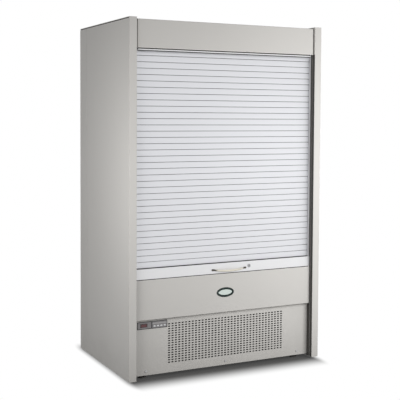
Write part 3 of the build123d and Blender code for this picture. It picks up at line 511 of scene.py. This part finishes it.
def makeEndPanels():
    low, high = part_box("left_end_panel")
    floorOfGap = low.x + endPanel["capGapDepth"]
    seamFloor = low.x + endPanel["seamDepth"]
    innerFace = -high.x + endPanel["shadeReach"]

    # painted shade: the floors of the groove under the top edge and of the joint near the back get the dark
    # shadow finish
    def inGroove(c, n):
        return near(abs(c.x), -floorOfGap, 1e-4) or near(abs(c.x), -seamFloor, 1e-4)

    # painted shade: the inner face in front of the shutter's guide is painted dark, as the shade that falls
    # there
    def shadedByGuide(c, n):
        ahead = c.y < endPanel["shadeBack"] and c.z < endPanel["shadeTop"]
        return ahead and abs(c.x) < innerFace and n.y > -0.7

    left = makeEndPanel()
    right = mirrorOf(left, "endPanelRight")
    for piece, node in ((left, "left_end_panel"), (right, "right_end_panel")):
        finishPiece(piece, finishes["paint"], "cabinet", [node], edge=0.0006)
        paintFaces(piece, finishes["gap"], inGroove)
        paintFaces(piece, finishes["paintedShade"], shadedByGuide)


makeEndPanels()

fascia = {"sheet": 0.0015, "underReturn": 0.012, "fold": 0.0022,
          "endGaps": (0.0068, 0.0020), "endDepth": 0.011,
          "mouthHalf": 0.5405, "mouthFront": -0.3670, "mouthBack": -0.3634, "lipThickness": 0.002,
          "shadeStrip": (1.7660, 1.7860), "lip": (1.7700, 1.7765), "lipRadius": 0.0008,
          "lipSunk": 0.0002}


def makeFascia():
    low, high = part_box("top_fascia")
    piece = foldedSheet("topFascia", low, high, fascia["underReturn"], fascia["fold"])
    # the top return runs back over the head box
    back = low.y + fascia["underReturn"]
    pick(piece, "EDGE", lambda c, d: near(c.y, back) and near(c.z, high.z) and abs(d.x) > 0.9)
    pull(y=high.y - back)
    bpy.ops.object.mode_set(mode="OBJECT")
    leftEnd = low.x + fascia["endGaps"][0]
    rightEnd = high.x - fascia["endGaps"][1]
    for end in (leftEnd, rightEnd):
        cutAcross(piece, (end, 0, 0), (1, 0, 0))
    applyModifier(piece, "SOLIDIFY", thickness=fascia["sheet"], offset=-1)
    finishPiece(piece, finishes["paint"], "cabinet", ["top_fascia"], edge=0.0003, steps=1)
    # painted shade: the narrow gaps at its ends are painted dark, as the shade in them
    paintFaces(piece, finishes["paintedShade"],
               lambda c, n: not leftEnd <= c.x <= rightEnd and c.y < low.y + fascia["endDepth"])


makeFascia()


# a pale lip on a dark strip, both hung under the fascia in front of the curtain; the dark strip is painted
# shade, standing in for the shade under the fascia
def makeMouth():
    half = fascia["mouthHalf"]
    back = fascia["mouthBack"]
    lipBack = fascia["mouthFront"] + fascia["lipThickness"]
    foot, top = fascia["shadeStrip"]
    shadeStrip = addBlock("mouthShadeStrip", (-half, lipBack, foot), (half, back, top))
    finishPiece(shadeStrip, finishes["gap"], "cabinet", edge=0.0002, steps=1)
    foot, top = fascia["lip"]
    lip = addBlock("mouthLip", (-half, fascia["mouthFront"], foot), (half, lipBack + fascia["lipSunk"], top))
    roundEdges(lip, lambda c, d: abs(d.x) > 0.9 and near(c.y, fascia["mouthFront"]),
               fascia["lipRadius"], 3)
    finishPiece(lip, finishes["rail"], "cabinet", edge=0)


makeMouth()

apron = {"sheet": 0.0015, "sideReturn": 0.018, "fold": 0.0022}


def makeApron():
    low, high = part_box("apron_panel")
    piece = foldedSheet("apronPanel", low, high, apron["sideReturn"], apron["fold"])
    back = low.y + apron["sideReturn"]
    pick(piece, "EDGE",
         lambda c, d: near(c.y, back) and (near(c.z, high.z) or near(c.z, low.z)) and abs(d.x) > 0.9)
    pull(y=high.y - back)
    bpy.ops.object.mode_set(mode="OBJECT")
    applyModifier(piece, "SOLIDIFY", thickness=apron["sheet"], offset=-1)
    finishPiece(piece, finishes["paint"], "cabinet", ["apron_panel"], edge=0.0003, steps=1)


makeApron()
print("display fridge: casing made")

curtain = {"pitch": 0.03345, "firstLine": 0.6057, "rows": 36, "halfLength": 0.550, "front": -0.3465,
           "thickness": 0.008, "lean": 0.0011, "crown": 0.0006, "lip": 0.0004, "joint": 0.0024,
           "jointDepth": 0.0060, "webThickness": 0.0016, "bands": 8, "bow": 2.2, "overlap": 0.0005,
           "railTop": 0.604, "lift": 1.19, "topRest": 1.8102,
           "leadRows": 2, "leadFoot": 1.8149, "leadY": -0.3415, "leadTilt": 30.0}


# one slat: a slightly bowed face that leans back towards its top, over a narrow joint whose web is painted
# dark as shade
def makeSlatRow():
    half = curtain["halfLength"]
    front = curtain["front"]
    face = curtain["firstLine"] + curtain["joint"] / 2
    tall = curtain["pitch"] - curtain["joint"]
    slat = addBlock("slat", (-half, front, face), (half, front + curtain["thickness"], face + tall))
    bands = curtain["bands"]
    for step in range(1, bands):
        cutAcross(slat, (0, 0, face + tall * step / bands), (0, 0, 1))
    for step in range(bands + 1):
        level = face + tall * step / bands
        away = abs(step - bands / 2) / (bands / 2)
        setBack = curtain["crown"] * away ** curtain["bow"] + curtain["lean"] * step / bands
        pick(slat, "VERT", lambda p: near(p.z, level) and near(p.y, front, 1e-4))
        bpy.ops.transform.translate(value=(0, setBack, 0))
        bpy.ops.object.mode_set(mode="OBJECT")
    roundEdges(slat, lambda c, d: abs(d.x) > 0.9 and (near(c.z, face) or near(c.z, face + tall)),
               curtain["lip"], 2)
    webFront = front + curtain["jointDepth"]
    overlap = curtain["overlap"]
    web = addBlock("web", (-half, webFront, face + tall - overlap),
                   (half, webFront + curtain["webThickness"], face + tall + curtain["joint"] + overlap))
    return joinTo(slat, web)


def makeCurtain():
    row = makeSlatRow()
    lead = copyOf(row, "curtainLead", (0, 0, curtain["leadFoot"] - curtain["firstLine"]))
    webFront = curtain["front"] + curtain["jointDepth"]
    work(row)
    row.name = "shutterCurtain"
    for piece, rows in ((row, curtain["rows"]), (lead, curtain["leadRows"])):
        applyModifier(piece, "ARRAY", count=rows, use_relative_offset=False, use_constant_offset=True,
                      constant_offset_displace=(0, 0, curtain["pitch"]))
    finishPiece(row, finishes["curtain"], "shutter", ["shutter_slats"], edge=0,
                angle=35)
    finishPiece(lead, finishes["curtain"], "cabinet", edge=0, angle=35)
    for piece in (row, lead):
        # painted shade: the web's front faces in the joints get the dark shadow finish
        paintFaces(piece, finishes["gap"], lambda c, n: n.y < -0.9 and near(c.y, webFront, 1e-4))
    # the last slats lean back from the guides to the barrel
    pick(lead, "VERT", lambda p: True)
    bpy.ops.transform.rotate(value=math.radians(curtain["leadTilt"]), orient_axis="X",
                             center_override=(0, curtain["leadY"], curtain["leadFoot"]))
    bpy.ops.object.mode_set(mode="OBJECT")
    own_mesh(row)


makeCurtain()

rail = {"top": 0.604, "frontDepth": 0.004, "frontRadius": 0.0012, "bodySetback": 0.002,
        "bodyInset": 0.0095, "tongueInset": 0.0035, "tongueFront": -0.348, "tongueEdge": 0.004,
        "hook": (-0.3422, -0.3408), "hookTop": 0.6080, "hookSunk": 0.001}


def makeRail():
    low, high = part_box("bottom_rail")
    top = rail["top"]
    face = addBlock("bottomRail", low, (high.x, low.y + rail["frontDepth"], top))
    roundEdges(face, lambda c, d: abs(d.x) > 0.9 and near(c.y, low.y), rail["frontRadius"], 3)
    inset = rail["bodyInset"]
    body = addBlock("body", (low.x + inset, low.y + rail["bodySetback"], low.z),
                    (high.x - inset, high.y, top))
    inset = rail["tongueInset"]
    edge = rail["tongueEdge"]
    tongue = addBlock("tongue", (low.x + inset, rail["tongueFront"], low.z + edge),
                      (high.x - inset, high.y, top - edge))
    hookFront, hookBack = rail["hook"]
    inset = rail["bodyInset"]
    hook = addBlock("hook", (low.x + inset, hookFront, top - rail["hookSunk"]),
                    (high.x - inset, hookBack, rail["hookTop"]))
    piece = finishPiece(joinTo(face, body, tongue, hook), finishes["rail"], "shutter",
                        ["bottom_rail"], edge=0.0004)

    # the hook, and the rail's top behind its front sheet, lie in shadow
    def overTop(c, n):
        return c.z > top + 0.0002 or (n.z > 0.9 and near(c.z, top, 1e-4) and c.y > low.y + 0.003)

    paintFaces(piece, finishes["gap"], overTop)


makeRail()

seal = {"lipFront": -0.3606, "lipTop": 0.5478, "lipDepth": 0.0045, "lipRadius": 0.0006}


# a seal under the rail, whose lip turns up over the rail's lower edge
def makeSeal():
    low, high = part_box("rail_seal")
    front = seal["lipFront"]
    body = addBlock("railSeal", (low.x, low.y, low.z), high)
    lip = addBlock("lip", (low.x, front, low.z), (high.x, front + seal["lipDepth"], seal["lipTop"]))
    roundEdges(lip, lambda c, d: abs(d.x) > 0.9 and near(c.y, front) and near(c.z, low.z),
               seal["lipRadius"], 3)
    finishPiece(joinTo(body, lip), finishes["rubber"], "shutter", ["rail_seal"], edge=0)


makeSeal()

handle = {"length": 0.220, "root": 0.5685, "droop": 15.0, "bar": (0.0030, 0.0034), "barSides": 14,
          "barInset": 0.008, "middle": 1.75, "steps": 28, "footLength": 0.018, "footHeight": 0.010,
          "footDepth": 0.0070, "footTaper": (0.72, 1, 0.8), "footRadius": 0.0018}


# a bowed bar that droops towards its middle, where it is also taller
def makeHandle():
    low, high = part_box("pull_handle")
    x = (low.x + high.x) / 2
    y = high.y
    z = handle["root"]
    half = handle["length"] / 2 - handle["barInset"]
    reach = high.y - low.y - handle["bar"][0]
    radius = (half ** 2 + reach ** 2) / (2 * reach)
    angle = math.asin(half / radius)
    centre = (x, y - reach + radius, z)
    restSelection()
    # the bar's section, then spun along the bow from one end to the other
    bpy.ops.mesh.primitive_circle_add(vertices=handle["barSides"], radius=1, fill_type="NGON",
                                      location=(x, y - reach, z), rotation=(0, math.pi / 2, 0))
    bar = takeShape("pullHandle", (handle["bar"][1], handle["bar"][0], 1))
    bpy.ops.object.mode_set(mode="EDIT")
    bpy.ops.mesh.select_all(action="SELECT")
    bpy.ops.transform.rotate(value=angle, orient_axis="Z", center_override=centre)
    bpy.ops.mesh.spin(steps=handle["steps"], angle=-2 * angle, center=centre, axis=(0, 0, 1))
    bpy.ops.mesh.select_all(action="SELECT")
    bpy.ops.mesh.normals_make_consistent(inside=False)
    bpy.ops.object.mode_set(mode="OBJECT")
    slack = angle / handle["steps"] / 2
    for step in range(1, handle["steps"]):
        turn = angle * (2 * step / handle["steps"] - 1)
        pick(bar, "VERT", lambda p: abs(math.atan2(p.x - x, centre[1] - p.y) - turn) < slack)
        taller = 1 + (handle["middle"] - 1) * (1 - (turn / angle) ** 2)
        bpy.ops.transform.resize(value=(1, 1, taller), center_override=(x, y, z))
        bpy.ops.object.mode_set(mode="OBJECT")
    pick(bar, "VERT", lambda p: True)
    droop = math.radians(handle["droop"])
    bpy.ops.transform.rotate(value=-droop, orient_axis="X", center_override=(x, y, z))
    bpy.ops.object.mode_set(mode="OBJECT")
    finishPiece(bar, finishes["nickel"], "shutter", ["pull_handle"], edge=0)
    long = handle["footLength"] / 2
    tall = handle["footHeight"] / 2
    for side, name in ((-1, "handleFootLeft"), (1, "handleFootRight")):
        end = x + side * (handle["length"] / 2 - long)
        foot = addBlock(name, (end - long, y - handle["footDepth"], z - tall), (end + long, y, z + tall))
        pick(foot, "FACE", lambda c, n: n.y < -0.9)
        bpy.ops.transform.resize(value=handle["footTaper"])
        bpy.ops.object.mode_set(mode="OBJECT")
        roundEdges(foot, lambda c, d: not near(c.y, y), handle["footRadius"], 3)
        finishPiece(foot, finishes["bronze"], "shutter", edge=0)


makeHandle()

lock = {"flange": 0.010, "flangeDepth": 0.0027, "face": 0.0068, "recess": 0.0008, "ring": 0.0006,
        "coreRise": 0.0005, "slot": (0.0044, 0.0124), "slotDepth": 0.0022, "core": 0.008, "sunk": 0.0002,
        "camFront": -0.3355, "camBack": -0.3325, "armHalf": 0.005, "armRadius": 0.0045, "nut": 0.005}


# the cylinder's face in front of the rail, and its cam and nut behind it
def makeLock():
    low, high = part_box("lock_cylinder")
    x = (low.x + high.x) / 2
    z = high.z - lock["flange"]
    face = (x, low.y, z)
    ring = addRound("lockCylinder", face, lock["flange"], lock["flangeDepth"], 40)
    pick(ring, "FACE", lambda c, n: n.y < -0.9)
    bpy.ops.mesh.inset(thickness=lock["flange"] - lock["face"])
    pull(y=lock["recess"])
    bpy.ops.mesh.inset(thickness=lock["ring"])
    pull(y=-lock["coreRise"])
    bpy.ops.object.mode_set(mode="OBJECT")
    keyWidth, keyHeight = lock["slot"]
    cutWith(ring, addBlock("slot", (x - keyWidth / 2, low.y - cutPast, z - keyHeight / 2),
                           (x + keyWidth / 2, low.y + lock["slotDepth"], z + keyHeight / 2)))
    behind = low.y + lock["flangeDepth"] - lock["sunk"]
    core = addRound("core", (x, behind, z), lock["core"], lock["camBack"] - behind, 32)
    half = lock["armHalf"]
    arm = addBlock("arm", (x - half, lock["camFront"], low.z), (x + half, lock["camBack"], z))
    roundEdges(arm, lambda c, d: abs(d.y) > 0.9 and near(c.z, low.z), lock["armRadius"], 5)
    nutFront = lock["camBack"] - lock["sunk"]
    nut = addRound("nut", (x, nutFront, z), lock["nut"], high.y - nutFront, 6)
    piece = finishPiece(joinTo(ring, core, arm, nut), finishes["lock"], "lock",
                        ["lock_cylinder"], edge=0.0003)

    # painted shade: the keyway's inner faces get the dark shadow finish
    def inKeyway(c, n):
        inside = abs(c.x - x) < keyWidth / 2 + 1e-4 and abs(c.z - z) < keyHeight / 2
        return inside and low.y + 0.0004 < c.y < low.y + 0.0026

    paintFaces(piece, finishes["gap"], inKeyway)


makeLock()
print("display fridge: shutter, rail, handle and lock made")

badge = {"sides": 72, "rim": 0.0085, "rimSplit": 0.35, "innerLip": 0.0012, "edge": 0.0008,
         "domeRing": 0.004, "domeRise": 0.0002}


# a bare oval plate in a raised ring
def makeBadge():
    low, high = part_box("badge_bezel")
    centre = ((low.x + high.x) / 2, low.y, (low.z + high.z) / 2)
    width = high.x - low.x
    squeeze = (high.z - low.z) / width
    ring = addRound("badgeRing", centre, width / 2, high.y - low.y, badge["sides"], squeeze)
    pick(ring, "FACE", lambda c, n: n.y < -0.9)
    bpy.ops.mesh.inset(thickness=badge["rim"] * badge["rimSplit"])
    bpy.ops.mesh.inset(thickness=badge["rim"] * (1 - badge["rimSplit"]), depth=-badge["innerLip"])
    bpy.ops.object.mode_set(mode="OBJECT")
    roundEdges(ring, lambda c, d: near(c.y, low.y), badge["edge"], 3)
    finishPiece(ring, finishes["badgeRing"], "cabinet", ["badge_bezel"], edge=0)
    plateLow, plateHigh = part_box("badge_plate")
    plateWide = plateHigh.x - plateLow.x
    plateTall = plateHigh.z - plateLow.z
    plate = addRound("badgePlate", (centre[0], plateLow.y, centre[2]), plateWide / 2,
                     plateHigh.y - plateLow.y, badge["sides"], plateTall / plateWide)
    pick(plate, "FACE", lambda c, n: n.y < -0.9)
    for step in range(2):
        bpy.ops.mesh.inset(thickness=badge["domeRing"], depth=badge["domeRise"])
    bpy.ops.object.mode_set(mode="OBJECT")
    finishPiece(plate, finishes["badgeFace"], "cabinet", ["badge_plate"], edge=0)
    # the plate's outer step is as dark as the ring around it
    innerX = plateWide / 2 - badge["domeRing"]
    innerZ = plateTall / 2 - badge["domeRing"]
    paintFaces(plate, finishes["badgeRing"],
               lambda c, n: ((c.x - centre[0]) / innerX) ** 2 + ((c.z - centre[2]) / innerZ) ** 2 > 1)


makeBadge()

controls = {"rim": 0.0030, "recess": 0.0008, "dividerX": -0.4457, "glassRim": 0.0012, "glassRise": 0.0003,
            "keyRim": 0.0012, "keyDish": 0.0003, "keyGap": 0.0003, "digits": 3, "digitTall": 0.0120,
            "digitWide": 0.0070, "digitStep": 0.0105, "stroke": 0.0018, "strokeRise": 0.0001,
            "strokeSunk": 0.0006, "strokeEdge": 0.3,
            "labelLow": 0.2965, "labelHigh": 0.3035, "labelSide": 0.006,
            "labelRise": 0.0003, "labelSunk": 0.0004, "labelRadius": 0.0015}


# every figure has its seven strokes raised on the glass
def makeDigits(front, centreX, centreZ):
    tall = controls["digitTall"] / 2
    wide = controls["digitWide"] / 2
    thin = controls["stroke"] / 2
    bars = [(0, tall, True), (-wide, tall / 2, False), (wide, tall / 2, False), (0, 0, True),
            (-wide, -tall / 2, False), (wide, -tall / 2, False), (0, -tall, True)]
    pieces = []
    for index in range(controls["digits"]):
        x = centreX + (index - (controls["digits"] - 1) / 2) * controls["digitStep"]
        for dx, dz, level in bars:
            halfX = wide - thin if level else thin
            halfZ = thin if level else tall / 2 - thin
            bar = addBlock("stroke",
                           (x + dx - halfX, front - controls["strokeRise"], centreZ + dz - halfZ),
                           (x + dx + halfX, front + controls["strokeSunk"], centreZ + dz + halfZ))
            pick(bar, "FACE", lambda c, n: n.y < -0.9)
            bpy.ops.mesh.inset(thickness=thin * controls["strokeEdge"])
            bpy.ops.object.mode_set(mode="OBJECT")
            pieces.append(bar)
    digits = joinTo(pieces[0], *pieces[1:])
    digits.name = "displayDigits"
    finishPiece(digits, finishes["digit"], "cabinet", edge=0)


def makeControls():
    low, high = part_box("control_bezel")
    bezel = addBlock("controlBezel", low, high)
    cutAcross(bezel, (controls["dividerX"], 0, 0), (1, 0, 0))
    for side in (-1, 1):
        pick(bezel, "FACE", lambda c, n: n.y < -0.9 and (c.x - controls["dividerX"]) * side > 0)
        bpy.ops.mesh.inset(thickness=controls["rim"])
        bpy.ops.transform.translate(value=(0, controls["recess"], 0))
        bpy.ops.object.mode_set(mode="OBJECT")
    windowLow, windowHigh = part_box("display_window")
    cutWith(bezel, addBlock("window", (windowLow.x, low.y - cutPast, windowLow.z),
                            (windowHigh.x, high.y + cutPast, windowHigh.z)))
    keys = [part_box(f"button_{index}") for index in range(1, 5)]
    gap = controls["keyGap"]
    for keyLow, keyHigh in keys:
        cutWith(bezel, addBlock("hole", (keyLow.x - gap, low.y - cutPast, keyLow.z - gap),
                                (keyHigh.x + gap, high.y + cutPast, keyHigh.z + gap)))
    finishPiece(bezel, finishes["controlFrame"], "cabinet", ["control_bezel"],
                edge=0.0003, steps=1)
    paintFaces(bezel, finishes["controlFace"],
               lambda c, n: n.y < -0.9 and near(c.y, low.y + controls["recess"], 1e-4))
    for index, (keyLow, keyHigh) in enumerate(keys, 1):
        key = addBlock(f"controlKey{index}", keyLow, keyHigh)
        pick(key, "FACE", lambda c, n: n.y < -0.9)
        bpy.ops.mesh.inset(thickness=controls["keyRim"], depth=-controls["keyDish"])
        bpy.ops.object.mode_set(mode="OBJECT")
        finishPiece(key, finishes["key"], f"button_body_{index}", [f"button_{index}"], edge=0.0006)
    glass = addBlock("displayGlass", windowLow, windowHigh)
    pick(glass, "FACE", lambda c, n: n.y < -0.9)
    bpy.ops.mesh.inset(thickness=controls["glassRim"], depth=controls["glassRise"])
    bpy.ops.object.mode_set(mode="OBJECT")
    finishPiece(glass, finishes["display"], "cabinet", ["display_window"],
                edge=0.0003, steps=1)
    makeDigits(windowLow.y - controls["glassRise"], (windowLow.x + windowHigh.x) / 2,
               (windowLow.z + windowHigh.z) / 2)
    # a pale strip over the keys
    side = controls["labelSide"]
    front = low.y + controls["recess"]
    strip = addBlock("keyStrip",
                     (keys[0][0].x - side, front - controls["labelRise"], controls["labelLow"]),
                     (keys[-1][1].x + side, front + controls["labelSunk"], controls["labelHigh"]))
    roundEdges(strip, lambda c, d: abs(d.y) > 0.9, controls["labelRadius"], 3)
    finishPiece(strip, finishes["keyStrip"], "cabinet", edge=0.0001, steps=1)


makeControls()
print("display fridge: badge and controls made")

slotShadeSheet = {"low": (-0.372, -0.3335, 0.062), "high": (0.407, -0.3305, 0.302), "rim": 0.006,
              "padEdge": 0.001, "pad": 0.0012}


# painted shade: a near-black foam sheet in a thin frame, right behind the grille's slots, so that they read
# as dark as the shade inside the base
def makeSlotShadeSheet():
    piece = addBlock("slotShadeSheet", slotShadeSheet["low"], slotShadeSheet["high"])
    pick(piece, "FACE", lambda c, n: n.y < -0.9)
    bpy.ops.mesh.inset(thickness=slotShadeSheet["rim"])
    bpy.ops.mesh.inset(thickness=slotShadeSheet["padEdge"], depth=-slotShadeSheet["pad"])
    bpy.ops.object.mode_set(mode="OBJECT")
    finishPiece(piece, finishes["slotShade"], "cabinet", edge=0.0003, steps=1)


makeSlotShadeSheet()

# CAD nodes that keep their shape
dress(finishes["paint"], "back_panel", "roof_panel", "grille_panel", "rear_vent_cover")
dress(finishes["inside"], "head_box_liner", "ceiling_panel", "rear_duct_panel", "insulated_base",
      "deck_rails", "base_deck", "shelf_1", "shelf_2", "shelf_3", "shelf_4", "shelf_brackets",
      "light_housing")
dress(finishes["zinc"], "base_tray", "shutter_barrel", "barrel_axle", "barrel_brackets", "drip_tray",
      "evaporator_fan_plate", "shelf_uprights")
dress(finishes["rail"], "shutter_guides")
dress(finishes["spring"], "counterbalance_spring")
dress(finishes["rubber"], "mains_gland", "levelling_feet")
dress(finishes["lock"], "lock_keeper", "grille_screws")
dress(finishes["honeycomb"], "air_honeycomb")
dress(finishes["lens"], "light_tube")
dress(finishes["ticket"], "ticket_strips")
dress(finishes["fins"], "evaporator_coil")
dress(finishes["blackFins"], "condenser_coil")
dress(finishes["blackPlastic"], "evaporator_fan_left", "evaporator_fan_right", "condenser_fan",
      "controller_case")
dress(finishes["motor"], "condenser_fan_motor", "compressor", "liquid_receiver", "condenser_shroud")
dress(finishes["copper"], "refrigerant_pipes")
soften(0.0012, "back_panel", "roof_panel", "shelf_1", "shelf_2", "shelf_3", "shelf_4", "base_tray",
       "ticket_strips", "light_housing", "shutter_guides")
print("display fridge: CAD nodes dressed")


# two masks: the rays straight from the viewer, and those with the mirrored and the see-through ones
def addSeen(tree):
    path = tree.nodes.new("ShaderNodeLightPath")
    bounced = addMath(tree, "MAXIMUM", path.outputs["Is Glossy Ray"], path.outputs["Is Transmission Ray"])
    return path.outputs["Is Camera Ray"], addMath(tree, "MAXIMUM", path.outputs["Is Camera Ray"], bounced)


floor = {"size": 14, "seen": (0.060, 0.059, 0.057), "lit": (0.35, 0.35, 0.35),
         "rough": 0.9, "specular": 0.1, "halfX": 0.565, "halfY": 0.355, "sideways": 3.2,
         "fadeFrom": 0.0, "fadeTo": 0.20, "darkest": 0.045}


# painted shadow: the camera sees the floor painted dark close to the fridge, as its shadow, fading to white
# a step away
def makeFloor():
    restSelection()
    bpy.ops.mesh.primitive_plane_add(size=1, location=(0, 0, 0))
    piece = takeShape("studioFloor", (floor["size"], floor["size"], 1))
    material = bpy.data.materials.new("paleFloor")
    material.use_nodes = True
    tree = material.node_tree
    shader = tree.nodes["Principled BSDF"]
    shader.inputs["Roughness"].default_value = floor["rough"]
    shader.inputs["Specular IOR Level"].default_value = floor["specular"]
    straight, seen = addSeen(tree)
    # painted shadow: camera rays see the dark 'seen' colour, which the fade below turns to white away from
    # the fridge
    tree.links.new(mixColours(tree, straight, floor["lit"], floor["seen"]), shader.inputs["Base Color"])
    split = splitPlace(tree, tree.nodes.new("ShaderNodeTexCoord").outputs["Object"])
    overX = addMath(tree, "SUBTRACT", addMath(tree, "ABSOLUTE", split[0], 0), floor["halfX"])
    overY = addMath(tree, "SUBTRACT", addMath(tree, "ABSOLUTE", split[1], 0), floor["halfY"])
    overX = addMath(tree, "MULTIPLY", overX, floor["sideways"])
    outX = addMath(tree, "MAXIMUM", overX, 0)
    outY = addMath(tree, "MAXIMUM", overY, 0)
    squareX = addMath(tree, "MULTIPLY", outX, outX)
    squareY = addMath(tree, "MULTIPLY", outY, outY)
    outside = addMath(tree, "POWER", addMath(tree, "ADD", squareX, squareY), 0.5)
    inside = addMath(tree, "MINIMUM", addMath(tree, "MAXIMUM", overX, overY), 0)
    away = addMath(tree, "ADD", outside, inside)
    fade = addRange(tree, away, floor["fadeFrom"], floor["fadeTo"], floor["darkest"], 1.0, smooth=True)
    white = tree.nodes.new("ShaderNodeEmission")
    mix = tree.nodes.new("ShaderNodeMixShader")
    tree.links.new(addMath(tree, "MULTIPLY", fade, seen), mix.inputs[0])
    tree.links.new(shader.outputs[0], mix.inputs[1])
    tree.links.new(white.outputs[0], mix.inputs[2])
    tree.links.new(mix.outputs[0], tree.nodes["Material Output"].inputs["Surface"])
    piece.data.materials.append(material)


# white where it is seen, and softer as light
def makeWorld(level):
    world = bpy.data.worlds.new("studio")
    bpy.context.scene.world = world
    world.use_nodes = True
    tree = world.node_tree
    light = tree.nodes["Background"]
    light.inputs["Color"].default_value = (1, 1, 1, 1)
    light.inputs["Strength"].default_value = level
    white = tree.nodes.new("ShaderNodeBackground")
    white.inputs["Color"].default_value = (1, 1, 1, 1)
    white.inputs["Strength"].default_value = 1.0
    mix = tree.nodes.new("ShaderNodeMixShader")
    tree.links.new(addSeen(tree)[1], mix.inputs[0])
    tree.links.new(light.outputs[0], mix.inputs[1])
    tree.links.new(white.outputs[0], mix.inputs[2])
    tree.links.new(mix.outputs[0], tree.nodes["World Output"].inputs["Surface"])


def addLamp(name, place, target, size, power):
    restSelection()
    aim = Vector(target) - Vector(place)
    turn = aim.to_track_quat("-Z", "Y").to_euler()
    bpy.ops.object.light_add(type="AREA", location=place, rotation=turn)
    lamp = bpy.context.object
    lamp.name = name
    lamp.data.shape = "SQUARE"
    lamp.data.size = size
    lamp.data.energy = power
    lamp.visible_camera = False
    lamp.visible_glossy = False  # metal shows the white room, not the lamp


studio = {"dome": 0.26,
          "key": ((0.95, -1.9, 1.22), (0.3, 0, 1.1), 1.0, 29),
          "fill": ((-1.5, -0.8, 1.1), (-0.6, -0.2, 1.1), 0.8, 8.2),
          "back": ((0.7, 3.2, 2.1), (0, 0.39, 1.0), 2.0, 66),
          "side": ((3.1, 0.8, 1.7), (0.6, 0, 1.0), 1.6, 46)}
makeFloor()
makeWorld(studio["dome"])
addLamp("keyLamp", *studio["key"])
addLamp("fillLamp", *studio["fill"])
addLamp("backLamp", *studio["back"])
addLamp("sideLamp", *studio["side"])

view = {"place": (-2.3239, -4.6457, 1.4183), "yaw": 0.4657, "pitch": -0.0490, "roll": 0.0052,
        "sensor": 36, "lens": 78.84, "shift": (0.0, -0.10), "reach": 60}


def makeCamera():
    restSelection()
    bpy.ops.object.camera_add(location=view["place"])
    camera = bpy.context.object
    camera.name = "photoCamera"
    aim = Euler((math.pi / 2 + view["pitch"], 0, -view["yaw"])).to_matrix()
    camera.rotation_euler = (aim @ Matrix.Rotation(view["roll"], 3, "Z")).to_euler()
    camera.data.sensor_width = view["sensor"]
    camera.data.lens = view["lens"]
    camera.data.shift_x, camera.data.shift_y = view["shift"]
    camera.data.clip_end = view["reach"]
    bpy.context.scene.camera = camera


makeCamera()
bpy.context.scene.view_settings.view_transform = "Standard"
print("display fridge: floor, light and camera set")

restSelection()
